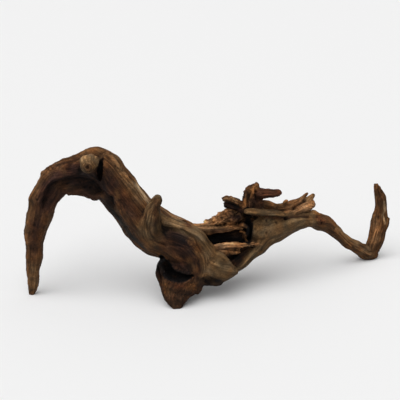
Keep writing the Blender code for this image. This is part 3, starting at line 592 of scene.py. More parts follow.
# How each limb has weathered: its stain, and how strong its flutes, its strands with their fibres,
# and its crumbs are.
WEATHER = {
    "left_leg": ("umber", 0.6, 0.5, 0.35),
    "trunk": ("umber", 0.7, 0.7, 0.15),
    "belly": ("deep_brown", 0.4, 0.8, 0.0),
    "back_ridge": ("amber", 0.6, 1.1, 0.2),
    "shelf": ("gold", 0.6, 1.0, 0.3),
    "rim": ("olive", 0.4, 0.7, 0.0),
    "thumb": ("moss", 0.5, 0.7, 0.0),
    "foot": ("dark_umber", 0.6, 0.8, 0.3),
    "loop": ("moss", 0.3, 0.35, 0.0),
    "right_trunk": ("olive", 0.3, 0.4, 0.0),
    "bright_fin": ("olive", 0.5, 0.8, 0.0),
    "horn": ("dark_umber", 0.6, 0.7, 1.0),
    "beak": ("red_brown", 0.5, 0.6, 0.5),
    "upper_splinter": ("rust", 0.6, 0.9, 0.1),
    "lower_splinter": ("amber", 0.6, 1.2, 0.1),
    "splinter_tip": ("tan", 0.4, 1.0, 0.0),
    "right_arm": ("umber", 0.6, 0.9, 0.0),
    "upturned_tip": ("umber", 0.7, 1.0, 0.1),
    "chunk": ("amber", 0.8, 0.6, 2.0),
    "flake": ("umber", 0.5, 0.7, 1.2),
    "flake_back": ("deep_brown", 0.5, 0.6, 0.5),
    "flake_wall": ("deep_brown", 0.5, 0.6, 0.8),
    "tongue": ("amber", 0.6, 0.8, 0.5),
    "under_tongue": ("rust", 0.5, 0.5, 1.2),
    "back_wall": ("umber", 0.8, 1.0, 0.3),
    "trough_floor": ("dark_umber", 0.6, 0.8, 0.3),
    "knob": ("olive", 0.4, 0.6, 0.1),
    "face": ("moss", 0.3, 0.35, 0.0),
    "curl": ("orange", 0.3, 0.5, 0.3),
    "curl_two": ("orange", 0.3, 0.5, 0.3),
    "rear": ("umber", 0.4, 0.8, 0.3),
    "lip": ("deep_brown", 0.3, 0.5, 0.1),
    "mouth_back": ("dark_umber", 0.3, 0.5, 0.1),
    "snag": ("orange", 0.3, 0.6, 0.6),
    "splinter_snag": ("orange", 0.3, 0.5, 0.5),
    "leg_snag": ("umber", 0.3, 0.6, 0.2),
    "tip_snag": ("umber", 0.3, 0.6, 0.2),
    "knuckle": ("umber", 0.4, 0.8, 0.5),
    "web": ("deep_brown", 0.4, 0.7, 0.3),
    # Painted shade: the floor of the notch under the loop is stained black for the shade there.
    "notch_floor": ("black", 0.4, 0.6, 0.3),
}

# How dark the painted shade inside each hollow is.
HOLLOW_SHADE = {"mouth": 1.0, "leg_fold": 0.7, "gap": 1.0, "recess": 0.5}


def unit(vectors):
    """The vectors divided by their lengths."""
    return vectors / np.linalg.norm(vectors, axis=-1, keepdims=True)


def smooth_path(stations):
    """Catmull-Rom curve: a cubic between each two stations that leaves each along its neighbours."""
    knots = np.array(stations, float)
    knots = np.vstack([2 * knots[0] - knots[1], knots, 2 * knots[-1] - knots[-2]])
    rows = []
    for before, start, end, after in zip(knots, knots[1:], knots[2:], knots[3:]):
        steps = max(2, round(np.linalg.norm((end - start)[:3]) / RING_GAP))
        t = np.arange(steps)[:, None] / steps
        straight = 2 * start + (end - before) * t
        bend = (2 * before - 5 * start + 4 * end - after) * t**2
        twist = (3 * start - before - 3 * end + after) * t**3
        rows.append((straight + bend + twist) / 2)
    rows.append(knots[-2:-1])
    return np.vstack(rows)


def ring_faces(rings):
    """Quads between neighbouring rings, and a fan of triangles to a pole at each end."""
    here = np.arange(RING_SIDES)
    after = (here + 1) % RING_SIDES
    low = np.arange(rings - 1)[:, None] * RING_SIDES
    quads = np.stack([low + here, low + after, low + RING_SIDES + after, low + RING_SIDES + here])
    last = (rings - 1) * RING_SIDES
    first_pole = np.full(RING_SIDES, rings * RING_SIDES)
    first_fan = np.stack([after, here, first_pole], axis=1)
    last_fan = np.stack([last + here, last + after, first_pole + 1], axis=1)
    return quads.reshape(4, -1).T.tolist() + first_fan.tolist() + last_fan.tolist()


class Limb:
    """A limb's path: at each row its centre, half sizes, directions and the run up to there."""

    def __init__(self, stations):
        path = smooth_path(stations)
        self.centre = path[:, :3]
        self.half = np.maximum(path[:, 3:], LEAST_HALF)
        self.along = unit(np.gradient(self.centre, axis=0))
        heading = unit(self.centre[-1] - self.centre[0])
        reference = (0.0, 0.0, 1.0) if abs(heading[1]) > HEADS_AWAY else (0.0, 1.0, 0.0)
        self.across = unit(np.cross(self.along, reference))
        self.deep = np.cross(self.across, self.along)
        steps = np.linalg.norm(np.diff(self.centre, axis=0), axis=1)
        self.run = np.concatenate([[0], np.cumsum(steps)])

    def loft(self, phase):
        """(points, faces) of a closed tube. Its ring at a row is an oval, half width cos(a) across
        and half depth sin(a) deep, times 1 + the sum of depth cos(count (a + phase) + twist run)."""
        angle = np.linspace(0, 2 * np.pi, RING_SIDES, endpoint=False)
        run = self.run[:, None]
        flutes = 1 + sum(
            depth * np.cos(count * (angle + phase) + twist * run) for count, depth, twist in FLUTES
        )
        sideways = (self.half[:, :1] * np.cos(angle) * flutes)[..., None] * self.across[:, None]
        inward = (self.half[:, 1:] * np.sin(angle) * flutes)[..., None] * self.deep[:, None]
        rings = (self.centre[:, None] + sideways + inward).reshape(-1, 3)
        first_pole = self.centre[0] - self.along[0] * self.half[0].min() * POLE_REACH
        last_pole = self.centre[-1] + self.along[-1] * self.half[-1].min() * POLE_REACH
        return np.vstack([rings, first_pole, last_pole]), ring_faces(len(self.centre))

    def laid_straight(self, points):
        """For each point its distance from the nearest row as a share of the half sizes there, and
        its place in the limb laid straight: across, deep and along the run."""
        centre = self.centre.astype(np.float32)
        square = (centre**2).sum(1) - 2 * points.astype(np.float32) @ centre.T
        row = np.argmin(square, axis=1)
        offset = points - self.centre[row]
        across = (offset * self.across[row]).sum(1)
        deep = (offset * self.deep[row]).sum(1)
        past = (offset * self.along[row]).sum(1)
        half = self.half[row]
        square = (across / half[:, 0]) ** 2 + (deep / half[:, 1]) ** 2 + (past / half.min(1)) ** 2
        return np.sqrt(square), np.stack([across, deep, self.run[row] + past], axis=1)


def joined(lofts):
    """One (points, faces) that holds several."""
    points, faces, count = [], [], 0
    for loft_points, loft_faces in lofts:
        points.append(loft_points)
        faces += [[count + corner for corner in face] for face in loft_faces]
        count += len(loft_points)
    return np.vstack(points), faces


def object_of(name, points, faces):
    """A new object at the origin, from points in millimetres from the foot, its faces outward."""
    mesh = bpy.data.meshes.new(name)
    mesh.from_pydata(((points + SHIFT) * MM).tolist(), [], faces)
    outward = bmesh.new()
    outward.from_mesh(mesh)
    bmesh.ops.recalc_face_normals(outward, faces=outward.faces)
    outward.to_mesh(mesh)
    outward.free()
    made = bpy.data.objects.new(name, mesh)
    bpy.context.scene.collection.objects.link(made)
    return made


def apply_modifiers(made):
    """Replaces the object's mesh by its evaluated one."""
    graph = bpy.context.evaluated_depsgraph_get()
    mesh = bpy.data.meshes.new_from_object(made.evaluated_get(graph), depsgraph=graph)
    made.modifiers.clear()
    made.data = mesh


def add_remesh(made, size):
    """Fuses all that overlaps into one skin, on a grid of that size."""
    fuse = made.modifiers.new("fuse", "REMESH")
    fuse.mode = "VOXEL"
    fuse.voxel_size = size


def lofts_object(name, table):
    """One object of a loft for each of the table's limbs."""
    limbs = [Limb(stations) for stations in table.values()]
    return object_of(name, *joined(limb.loft(n) for n, limb in enumerate(limbs)))


def take_in(made, added):
    """Adds the other object's faces to the mesh, and removes that object."""
    both = bmesh.new()
    both.from_mesh(made.data)
    both.from_mesh(added.data)
    both.to_mesh(made.data)
    both.free()
    bpy.data.objects.remove(added)


def fused_skin(size, rounds):
    """The limbs fused by a voxel remesh, the hollows cut out, the inserts fused in, and smoothed."""
    skin = lofts_object("ebony_root", LIMBS)
    cutter = lofts_object("hollows", HOLLOWS)
    add_remesh(skin, size)
    cut = skin.modifiers.new("hollows", "BOOLEAN")
    cut.operation = "DIFFERENCE"
    cut.solver = "MANIFOLD"
    cut.object = cutter
    apply_modifiers(skin)
    take_in(skin, lofts_object("inserts", INSERTS))
    add_remesh(skin, size)
    smooth = skin.modifiers.new("smooth", "SMOOTH")
    smooth.factor = 0.5
    smooth.iterations = rounds
    apply_modifiers(skin)
    bpy.data.objects.remove(cutter)
    return skin


def thinned(made, triangles):
    """Collapses edges until about that many triangles are left, fewer where the wood is smooth."""
    thin = made.modifiers.new("thin", "DECIMATE")
    thin.use_collapse_triangulate = True
    thin.ratio = min(1.0, triangles / sum(len(face.vertices) - 2 for face in made.data.polygons))
    apply_modifiers(made)


def cut_flat_rests(mesh):
    """Cuts the low points flat where the root rests, and closes the cuts."""
    work = bmesh.new()
    work.from_mesh(mesh)
    everything = work.verts[:] + work.edges[:] + work.faces[:]
    bmesh.ops.bisect_plane(
        work, geom=everything, plane_co=(0, 0, 0), plane_no=(0, 0, -1), clear_outer=True
    )
    rims = [edge for edge in work.edges if edge.is_boundary]
    bmesh.ops.holes_fill(work, edges=rims, sides=0)
    bmesh.ops.triangulate(work, faces=work.faces[:])
    work.to_mesh(mesh)
    work.free()


def places(mesh):
    """Vertex places in millimetres from the foot."""
    flat = np.empty(len(mesh.vertices) * 3, np.float32)
    mesh.vertices.foreach_get("co", flat)
    return flat.reshape(-1, 3).astype(float) / MM - SHIFT


def normals_of(mesh):
    """Vertex normals."""
    flat = np.empty(len(mesh.vertices) * 3, np.float32)
    mesh.vertex_normals.foreach_get("vector", flat)
    return flat.reshape(-1, 3).astype(float)


def set_places(mesh, points):
    """Moves the vertices to places in millimetres from the foot."""
    mesh.vertices.foreach_set("co", ((points + SHIFT) * MM).astype(np.float32).ravel())
    mesh.update()


def edges_of(mesh):
    """The two vertices of each edge."""
    ends = np.empty(len(mesh.edges) * 2, np.int32)
    mesh.edges.foreach_get("vertices", ends)
    return ends.reshape(-1, 2)


def spread(values, edges, rounds):
    """Each value replaced by the mean of its neighbours along the edges, again and again."""
    count = len(values)
    ends = np.concatenate([edges[:, 0], edges[:, 1]])
    others = np.concatenate([edges[:, 1], edges[:, 0]])
    neighbours = np.maximum(np.bincount(ends, minlength=count), 1)
    for _ in range(rounds):
        columns = [np.bincount(ends, values[others, k], count) for k in range(values.shape[1])]
        values = np.stack(columns, axis=1) / neighbours[:, None]
    return values


def hollowness(points, normals, edges, rounds):
    """How far the surface's own average lies outside it: above 0 in a valley, below 0 on a crest."""
    return ((spread(points, edges, rounds) - points) * normals).sum(1)


def noise(points, seed):
    """Gradient noise, about -1 to 1: a random direction at each whole-number point, dotted with
    the way from there, and mixed between the eight corners by 6t^5 - 15t^4 + 10t^3."""
    slopes = unit(np.random.default_rng(seed).normal(size=(DIRECTIONS, 3)))
    cell = np.floor(points)
    offset = points - cell
    t = offset**3 * (offset * (offset * 6 - 15) + 10)
    cell = cell.astype(np.int64)
    value = np.zeros(len(points))
    for corner in np.ndindex(2, 2, 2):
        i, j, k = ((cell + corner) * MIXERS).T
        slope = slopes[(i ^ j ^ k) & (DIRECTIONS - 1)]
        weight = np.prod(np.where(corner, t, 1 - t), axis=1)
        value += weight * ((offset - corner) * slope).sum(1)
    return value * NOISE_GAIN


def layered(points, seed, layers=2):
    """Noise added to itself at half the size and half the height, layers times."""
    return sum(noise(points * 2**n, seed + n) / 2**n for n in range(layers))


def swells(points):
    """Sum of sine waves, each of a random direction, length and phase."""
    rng = np.random.default_rng(SWELL_SEED)
    height = np.zeros(len(points))
    for _ in range(SWELL_COUNT):
        direction = unit(rng.normal(size=3))
        length = rng.uniform(*SWELL_LENGTHS)
        phase = rng.uniform(0, 2 * np.pi)
        height += np.sin(points @ direction * 2 * np.pi / length + phase)
    return height * SWELL_HEIGHT


def bell(distance, radius):
    """1 at distance 0, falling as exp(-(distance / radius)^2)."""
    return np.exp(-((distance / radius) ** 2))


def smoothstep(low, high, value):
    """0 below low, 1 above high, and 3t^2 - 2t^3 between them."""
    t = np.clip((value - low) / (high - low), 0, 1)
    return t * t * (3 - 2 * t)


def distance_to(points, middle):
    """Distance from each point to the middle."""
    return np.linalg.norm(points - np.array(middle, float), axis=1)


def distance_to_line(points, line):
    """Distance from each point to the nearest of the line's segments."""
    line = np.array(line, float)
    nearest = np.full(len(points), np.inf)
    for start, end in zip(line[:-1], line[1:]):
        run = end - start
        share = np.clip((points - start) @ run / (run @ run), 0, 1)
        nearest = np.minimum(nearest, np.linalg.norm(points - start - share[:, None] * run, axis=1))
    return nearest


class Grain:
    """How the points lie in the wood: the point's place in each limb laid straight, and each limb's
    share in it, exp(-fall * how much further it is than the nearest), with edges that noise bends."""

    def __init__(self, points):
        laid = [Limb(stations).laid_straight(points) for stations in (LIMBS | INSERTS).values()]
        depth = np.array([row[0] for row in laid])
        self.spots = [row[1] + GRAIN_STEP * n for n, row in enumerate(laid)]
        wander = np.array([noise(points / WANDER_LENGTH, seed) for seed in (95, 96)]) * SHARE_WANDER
        turn = np.arange(len(depth))
        ragged = depth + np.column_stack([np.cos(turn), np.sin(turn)]) @ wander
        share = np.maximum(np.exp((ragged.min(0) - ragged) * SHARE_FALL) - SHARE_LEAST, 0)
        self.share = share / share.sum(0)
        self.main = depth.argmin(0)
        nearest_two = np.partition(depth, 1, axis=0)[:2]
        self.clear = smoothstep(*SEAM, nearest_two[1] - nearest_two[0])

    def share_of(self, *names):
        """How much of each point belongs to the named limbs."""
        order = list(LIMBS | INSERTS)
        return self.share[[order.index(name) for name in names]].sum(0)

    def mixed(self, row_of):
        """A row of numbers for each limb's weathering, mixed at each point by the limbs' shares."""
        return self.share.T @ np.array([row_of(WEATHER[name]) for name in LIMBS | INSERTS], float)

    def streaks(self, width, length, seed, layers=2):
        """Noise drawn out along the grain: width across it and length along it."""
        value = np.zeros(self.share.shape[1])
        size = np.array((width, width, length), float)
        for share, spots in zip(self.share, self.spots):
            here = share > 0
            value[here] += share[here] * layered(spots[here] / size, seed, layers)
        return value

    def laid(self):
        """Each point's place in its nearest limb laid straight."""
        return np.array(self.spots)[self.main, np.arange(len(self.main))]


def lumps(points):
    """Crumbs: soft bumps 7 across, and 0.7 times sharp ones 3.4 across, 0.5 - |noise|."""
    return layered(points / 7, 41, 3) + 0.7 * (0.5 - np.abs(layered(points / 3.4, 44, 2)))


def grooved(streaks):
    """Rounded strands with sharp grooves between them: 2.5 |streaks| - 0.7."""
    return np.abs(streaks) * 2.5 - 0.7


def knot_rings(points, middle, reach, gap):
    """Rings round a knot: cos(2 pi distance / gap), bent by noise 6 across, under a bell."""
    away = distance_to(points, middle)
    return np.cos(2 * np.pi * away / gap + 2 * noise(points / 6, 91)) * bell(away, reach)


def relief(points, grain, shape):
    """Height over the fused skin: swells, less the dents, cracks and pits, plus the rings of knots,
    flutes, strands and fibres along the grain, and crumbs where the wood is broken."""
    flute, strand, crumb = grain.mixed(lambda row: row[1:]).T
    height = swells(points)
    for middle, radius, depth in DENTS.values():
        height -= depth * bell(distance_to(points, middle), radius)
    for line, half_width, depth in CRACKS.values():
        height -= depth * bell(distance_to_line(points, line), half_width)
    for middle, radius in PITS:
        height -= radius * bell(distance_to(points, middle), radius)
    for knot in KNOTS.values():
        height += KNOT_HEIGHT * knot_rings(points, *knot)
    for line, reach, rough in BROKEN.values():
        crumb = crumb + rough * bell(distance_to_line(points, line), reach)
    height += flute * shape.flute / MM * grain.streaks(*FLUTE_NOISE)
    height += strand * shape.strand / MM * grooved(grain.streaks(*STRAND_NOISE))
    height += strand * shape.fibre / MM * grooved(grain.streaks(*FIBRE_NOISE))
    height += crumb * shape.crumb / MM * lumps(points)
    return height


def carve(shape):
    """The root's skin with its relief raised along its normals, thinned and cut flat at the rests."""
    skin = fused_skin(shape.voxel, shape.smooth_rounds)
    points = places(skin.data)
    points += normals_of(skin.data) * relief(points, Grain(points), shape)[:, None]
    set_places(skin.data, points)
    thinned(skin, shape.triangles)
    low, high = np.array(CAD_BOX) / MM - SHIFT
    low[2] = -np.inf
    set_places(skin.data, np.clip(places(skin.data), low, high))
    cut_flat_rests(skin.data)
    skin.data.shade_smooth()
    return skin


def hollow_shade(points):
    """How far each point lies in a hollow painted dark for its shade: 1 inside it, fading out over its
    edge.
    """
    depth = np.zeros(len(points))
    for name, strength in HOLLOW_SHADE.items():
        share = Limb(HOLLOWS[name]).laid_straight(points)[0]
        depth = np.maximum(depth, strength * (1 - smoothstep(*HOLLOW_SHADE_EDGE, share)))
    return depth


def tinted(colour, name, share):
    """The colour moved towards the named colour of the palette by each point's share."""
    return colour + (np.array(PALETTE[name]) - colour) * share[:, None]


def stain_and_painted_light(points, grain):
    """Linear colour of each point: the limbs' stains by their shares, then over them the patches with
    ragged edges (stains, painted shade and painted highlights), the cracks' darkening, the rings of knots,
    the pits, the swing of the hue and the painted shade in the hollows."""
    colour = grain.mixed(lambda row: PALETTE[row[0]])
    ragged = 1 + RAGGED * grain.streaks(*EDGE_NOISE)
    for name, line, radius, strength in PATCHES.values():
        colour = tinted(colour, name, strength * bell(distance_to_line(points, line) * ragged, radius))
    # Cracks darkened: the wood's own dark in fine cracks, painted shade in the broad creases.
    for line, half_width, _ in CRACKS.values():
        share = CRACK_DARKENING * bell(distance_to_line(points, line), half_width * CRACK_WIDTH)
        colour = tinted(colour, "deep_brown", share)
    for knot in KNOTS.values():
        colour *= np.exp(KNOT_SHADE * knot_rings(points, *knot))[:, None]
    for middle, radius in PITS:
        colour = tinted(colour, "black", PIT_STAIN * bell(distance_to(points, middle), radius))
    colour *= np.exp(layered(points / HUE_WIDTH, 81)[:, None] * HUE_SWING)
    # Painted shade: the hollows go black inside, except on the curls.
    return tinted(colour, "black", hollow_shade(points) * (1 - grain.share_of("curl", "curl_two")))


def painted_light_and_streaks(points, normals, grain, hollow, crest):
    """What the stain is multiplied by: painted shade facing down and painted light facing up,
    exp(streaks and crumbs), wear and painted highlight on crests that face up, painted shade in valleys."""
    # Painted shade on faces that look down and painted light on those that look up.
    up = smoothstep(-0.9, 0.9, normals[:, 2])
    # Crests that face up: partly wear and partly painted highlight.
    wear_and_highlight = crest * smoothstep(-0.2, 0.7, normals[:, 2])
    broken = grain.mixed(lambda row: row[3:])[:, 0] * lumps(points)
    streak = STREAK_SWING * grain.streaks(*STREAK_NOISE)
    fine = FINE_SWING * grain.streaks(*FINE_NOISE)
    bright = (PAINTED_SHADE_DOWN + PAINTED_LIGHT_UP * up) * np.exp(streak + fine + CRUMB_SWING * broken)
    return bright * (1 + WEAR_AND_HIGHLIGHT_GAIN * wear_and_highlight) * (1 - VALLEY_PAINTED_SHADE * hollow)


def store(mesh, name, kind, values):
    """Keeps values as a vertex attribute for the material."""
    made = mesh.attributes.new(name, kind, "POINT")
    key = {"FLOAT": "value", "FLOAT_VECTOR": "vector", "FLOAT_COLOR": "color"}[kind]
    made.data.foreach_set(key, np.ascontiguousarray(values, np.float32).ravel())


def depth_of(near, far, ranges):
    """Sum of the smoothsteps of both measures over their ranges, each times its weight, up to 1."""
    rows = zip((near, far), ranges)
    total = sum(smoothstep(low, high, value) * weight for value, (low, high, weight) in rows)
    return np.clip(total, 0, 1)


def store_looks(mesh):
    """Works out and stores the stain with its painted light and shade, the place along the grain and how
    plainly the strands show.
    """
    points, normals, edges = places(mesh), normals_of(mesh), edges_of(mesh)
    grain = Grain(points)
    near = hollowness(points, normals, edges, NEAR_ROUNDS)
    far = hollowness(points, normals, edges, FAR_ROUNDS)
    # Valleys get painted shade; crests that face up get wear and painted highlight.
    valley, crest = depth_of(near, far, VALLEYS), depth_of(-near, -far, CRESTS)
    bright = painted_light_and_streaks(points, normals, grain, valley, crest)
    colour = np.clip(stain_and_painted_light(points, grain) * bright[:, None], *COLOUR_LIMITS)
    strand = grain.mixed(lambda row: row[2:3])[:, 0]
    # The stored colour holds the stain together with painted shade and painted highlights.
    store(mesh, "stain_and_painted_light", "FLOAT_COLOR", np.column_stack([colour, np.ones(len(colour))]))
    store(mesh, "fibre", "FLOAT_VECTOR", grain.laid())
    store(mesh, "clear", "FLOAT", grain.clear * np.clip(strand, *CLEAR_LIMITS))


def add_node(tree, kind, settings=None, **inputs):
    """A new node with its settings, and its inputs set to values or linked to sockets."""
    made = tree.nodes.new(kind)
    for name, value in (settings or {}).items():
        setattr(made, name, value)
    for name, value in inputs.items():
        key = name.replace("_", " ")
        socket = next(s for s in made.inputs if s.name == key and s.enabled)
        if isinstance(value, bpy.types.NodeSocket):
            tree.links.new(value, socket)
        else:
            socket.default_value = value
    return made


def attribute(tree, name):
    return add_node(tree, "ShaderNodeAttribute", {"attribute_name": name}).outputs


def in_range(tree, value, low, high, to_low, to_high):
    """The value carried from one range to another, and kept within it."""
    ends = {"From_Min": low, "From_Max": high, "To_Min": to_low, "To_Max": to_high}
    return add_node(tree, "ShaderNodeMapRange", Value=value, **ends).outputs["Result"]


def drawn_noise(tree, vector, scale, detail):
    """Noise on a vector whose three axes are scaled apart, about 0.5."""
    drawn = add_node(tree, "ShaderNodeMapping", Vector=vector, Scale=scale).outputs["Vector"]
    numbers = {"Scale": 1.0, "Detail": detail, "Roughness": 0.6}
    return add_node(tree, "ShaderNodeTexNoise", Vector=drawn, **numbers).outputs["Fac"]


def swing_of(tree, value):
    """The middle of a noise, 0.3 to 0.7, carried to -1 to 1."""
    return in_range(tree, value, 0.3, 0.7, -1.0, 1.0)


def maths(tree, operation, value):
    """A sum with one value, such as its size without a sign."""
    return add_node(tree, "ShaderNodeMath", {"operation": operation}, Value=value).outputs["Value"]


def sum_of(tree, first, second, weight):
    """first + second * weight."""
    made = tree.nodes.new("ShaderNodeMath")
    made.operation = "MULTIPLY_ADD"
    for socket, value in zip(made.inputs, (second, weight, first)):
        if isinstance(value, bpy.types.NodeSocket):
            tree.links.new(value, socket)
        else:
            socket.default_value = value
    return made.outputs["Value"]


def product_of(tree, first, second):
    return sum_of(tree, 0.0, first, second)


def split_of(tree, value):
    """A dark line: -1 where a noise passes its middle, and 0 a split's width away from there."""
    away = maths(tree, "ABSOLUTE", sum_of(tree, -0.5, value, 1.0))
    return in_range(tree, away, 0.0, SPLIT_WIDTH, -1.0, 0.0)


def wood_swings(tree):
    """Each noise as a swing about 0. Those along the grain fade where the limbs meet."""
    fibre = attribute(tree, "fibre")["Vector"]
    clear = attribute(tree, "clear")["Fac"]
    place = add_node(tree, "ShaderNodeTexCoord").outputs["Object"]
    swings = {name: swing_of(tree, drawn_noise(tree, place, *row)) for name, row in PLACE_NOISES.items()}
    for name, row in FIBRE_NOISES.items():
        drawn = drawn_noise(tree, fibre, *row)
        swing = split_of(tree, drawn) if name == "split" else swing_of(tree, drawn)
        swings[name] = product_of(tree, swing, clear)
    return swings


def weighted(tree, swings, weights):
    """Sum of the swings, each times its weight."""
    total = 0.0
    for name, weight in weights.items():
        total = sum_of(tree, total, swings[name], weight)
    return total


def wood_material(finish):
    """Dry root wood. Its colour is the stored stain, with its painted light and shade, times e to the power
    of the swings of strands, hairs, splits, specks and mottling, and the same swings raise the fine relief."""
    material = bpy.data.materials.new("ebony_wood_weathered")
    material.use_nodes = True
    tree = material.node_tree
    surface = tree.nodes["Principled BSDF"]
    swings = wood_swings(tree)
    bright = maths(tree, "EXPONENT", weighted(tree, swings, COLOUR_SWINGS))
    stored = attribute(tree, "stain_and_painted_light")["Color"]
    scaled = add_node(tree, "ShaderNodeVectorMath", {"operation": "SCALE"}, Vector=stored, Scale=bright)
    tree.links.new(scaled.outputs["Vector"], surface.inputs["Base Color"])
    rough = sum_of(tree, finish.roughness, swings["mottle"], ROUGHNESS_SWING)
    tree.links.new(rough, surface.inputs["Roughness"])
    surface.inputs["Specular IOR Level"].default_value = finish.specular
    height = weighted(tree, swings, RELIEF_SWINGS)
    bump = add_node(tree, "ShaderNodeBump", Height=height, Strength=finish.bump, Distance=FINE_RELIEF)
    tree.links.new(bump.outputs["Normal"], surface.inputs["Normal"])
    return material


def plain_material(name, colour, roughness):
    material = bpy.data.materials.new(name)
    material.use_nodes = True
    surface = material.node_tree.nodes["Principled BSDF"]
    surface.inputs["Base Color"].default_value = (*colour, 1)
    surface.inputs["Roughness"].default_value = roughness
    surface.inputs["Specular IOR Level"].default_value = 0.1
    return material


class RootShape(bpy.types.PropertyGroup):
    """Sizes of the root's skin and of its relief."""

    voxel: FloatProperty(
        name="Voxel", description="Size of the remesh that fuses the limbs",
        default=0.8 * MM, min=0.4 * MM, unit="LENGTH", precision=5,
    )
    smooth_rounds: IntProperty(
        name="Smoothing", description="Rounds of smoothing after the limbs are fused", default=5, min=0
    )
    triangles: IntProperty(
        name="Triangles", description="Triangles left on the finished root", default=190000, min=1000
    )
    flute: FloatProperty(
        name="Flutes", description="Height of the broad flutes along the grain",
        default=0.9 * MM, unit="LENGTH", precision=5,
    )
    strand: FloatProperty(
        name="Strands", description="Height of the strands between the grooves",
        default=0.45 * MM, unit="LENGTH", precision=5,
    )
    fibre: FloatProperty(
        name="Fibres", description="Height of the finest ridges along the grain",
        default=0.26 * MM, unit="LENGTH", precision=5,
    )
    crumb: FloatProperty(
        name="Crumbs", description="Height of the crumbs where the wood is broken",
        default=1.2 * MM, unit="LENGTH", precision=5,
    )


class RootFinish(bpy.types.PropertyGroup):
    """How the wood's surface takes the light."""

    roughness: FloatProperty(
        name="Roughness", description="Mean roughness of the wood",
        default=0.78, min=0, max=1, subtype="FACTOR",
    )
    specular: FloatProperty(
        name="Specular", description="Strength of the wood's reflections",
        default=0.1, min=0, max=1, subtype="FACTOR",
    )
    bump: FloatProperty(
        name="Fine relief", description="Strength of the relief too fine for the mesh",
        default=0.8, min=0, max=1, subtype="FACTOR",
    )


class RootStage(bpy.types.PropertyGroup):
    """The floor, the lights and the camera."""

    floor_colour: FloatVectorProperty(
        name="Floor", description="Colour of the plain floor",
        default=(0.86, 0.86, 0.86), size=3, min=0, max=1, subtype="COLOR",
    )
    sky: FloatProperty(
        name="Sky", description="Strength of the light from all round", default=0.42, min=0
    )
    horizon: FloatProperty(
        name="Horizon", description="Strength of that light low down", default=0.78, min=0
    )
    lamp: FloatProperty(
        name="Lamp", description="Strength of the broad lamp overhead", default=2.3, min=0
    )
    camera_height: FloatProperty(
        name="Camera height", description="How steeply the camera looks down",
        default=math.radians(18), subtype="ANGLE",
    )
    camera_distance: FloatProperty(
        name="Camera distance", description="From the camera to the point that it looks at",
        default=0.82, unit="LENGTH",
    )
    lens: FloatProperty(
        name="Lens", description="Focal length on a 36 mm sensor", default=67.0, unit="CAMERA"
    )
    target: FloatVectorProperty(
        name="Target", description="The point that the camera looks at",
        default=(-0.021, -0.026, 0.106), size=3, subtype="TRANSLATION",
    )


class WOODROOT_OT_root(bpy.types.Operator):
    """Carve the driftwood root and give it its stain and material"""

    bl_idname = "woodroot.root"
    bl_label = "Carve root"

    def execute(self, context):
        skin = carve(context.scene.root_shape)
        store_looks(skin.data)
        skin.data.materials.clear()
        skin.data.materials.append(wood_material(context.scene.root_finish))
        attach(skin, "root")
        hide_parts(NODE)
        return {"FINISHED"}


class WOODROOT_OT_stage(bpy.types.Operator):
    """Lay the floor, hang the lamps and set up the camera"""

    bl_idname = "woodroot.stage"
    bl_label = "Set stage"

    def execute(self, context):
        stage = context.scene.root_stage
        lay_floor(stage)
        light_stage(context.scene, stage)
        aim_camera(context.scene, stage)
        return {"FINISHED"}


def lay_floor(stage):
    """A disc under the root: rings whose radius grows as (ring / rings)^2, closed at the middle."""
    rings, spokes = FLOOR_RINGS, FLOOR_SPOKES
    angle = np.linspace(0, 2 * np.pi, spokes, endpoint=False)
    reach = FLOOR_RADIUS * (np.arange(1, rings + 1) / rings)[:, None] ** 2
    across, away = reach * np.cos(angle), reach * np.sin(angle)
    points = np.stack([across, away, np.zeros_like(across)], axis=-1).reshape(-1, 3)
    points = np.vstack([points, (0, 0, 0)])
    here = np.arange(spokes)
    after = (here + 1) % spokes
    low = np.arange(rings - 1)[:, None] * spokes
    corners = [low + here, low + spokes + here, low + spokes + after, low + after]
    quads = np.stack(corners).reshape(4, -1).T
    fan = np.stack([here, after, np.full(spokes, rings * spokes)], axis=1)
    mesh = bpy.data.meshes.new("floor")
    mesh.from_pydata(points.tolist(), [], quads.tolist() + fan.tolist())
    mesh.materials.append(plain_material("floor_paper", stage.floor_colour, 0.9))
    floor = bpy.data.objects.new("floor", mesh)
    bpy.context.scene.collection.objects.link(floor)


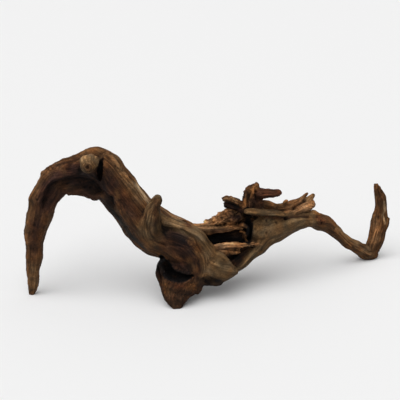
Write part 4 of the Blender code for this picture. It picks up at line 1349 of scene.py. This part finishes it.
def light_stage(scene, stage):
    """A sky that is brighter low down, and a broad soft lamp above, in front and a little left."""
    world = bpy.data.worlds.new("sky")
    world.use_nodes = True
    tree = world.node_tree
    background = tree.nodes["Background"]
    background.inputs["Color"].default_value = (1, 1, 1, 1)
    direction = add_node(tree, "ShaderNodeTexCoord").outputs["Generated"]
    height = add_node(tree, "ShaderNodeSeparateXYZ", Vector=direction).outputs["Z"]
    strength = in_range(tree, height, 0.0, HORIZON_TOP, stage.horizon, stage.sky)
    tree.links.new(strength, background.inputs["Strength"])
    scene.world = world
    lamp = bpy.data.lights.new("softbox", "SUN")
    lamp.angle = LAMP_WIDTH
    lamp.energy = stage.lamp
    hung = bpy.data.objects.new("softbox", lamp)
    hung.rotation_euler = Vector(LAMP_FROM).to_track_quat("Z", "Y").to_euler()
    scene.collection.objects.link(hung)


def aim_camera(scene, stage):
    """A camera in front of the root, looking down on it a little."""
    camera = bpy.data.cameras.new("camera")
    camera.lens = stage.lens
    camera.sensor_width = SENSOR
    back = Vector((0, -math.cos(stage.camera_height), math.sin(stage.camera_height)))
    placed = bpy.data.objects.new("camera", camera)
    placed.location = Vector(stage.target) + back * stage.camera_distance
    placed.rotation_euler = back.to_track_quat("Z", "Y").to_euler()
    scene.collection.objects.link(placed)
    scene.camera = placed


class WOODROOT_PT_panel(bpy.types.Panel):
    """Lists the steps with their sizes and colours"""

    bl_label = "Wood root"
    bl_idname = "WOODROOT_PT_panel"
    bl_space_type = "VIEW_3D"
    bl_region_type = "UI"
    bl_category = "Wood root"

    def draw(self, context):
        scene = context.scene
        for group in (scene.root_shape, scene.root_finish):
            for name in group.__annotations__:
                self.layout.prop(group, name)
        self.layout.operator(WOODROOT_OT_root.bl_idname)
        for name in scene.root_stage.__annotations__:
            self.layout.prop(scene.root_stage, name)
        self.layout.operator(WOODROOT_OT_stage.bl_idname)


CLASSES = (
    RootShape,
    RootFinish,
    RootStage,
    WOODROOT_OT_root,
    WOODROOT_OT_stage,
    WOODROOT_PT_panel,
)


def register():
    for part in CLASSES:
        bpy.utils.register_class(part)
    bpy.types.Scene.root_shape = PointerProperty(type=RootShape)
    bpy.types.Scene.root_finish = PointerProperty(type=RootFinish)
    bpy.types.Scene.root_stage = PointerProperty(type=RootStage)


def unregister():
    del bpy.types.Scene.root_stage
    del bpy.types.Scene.root_finish
    del bpy.types.Scene.root_shape
    for part in reversed(CLASSES):
        bpy.utils.unregister_class(part)


def main():
    register()
    bpy.context.scene.view_settings.view_transform = "Standard"
    bpy.ops.woodroot.root()
    bpy.ops.woodroot.stage()


if __name__ == "__main__":
    main()
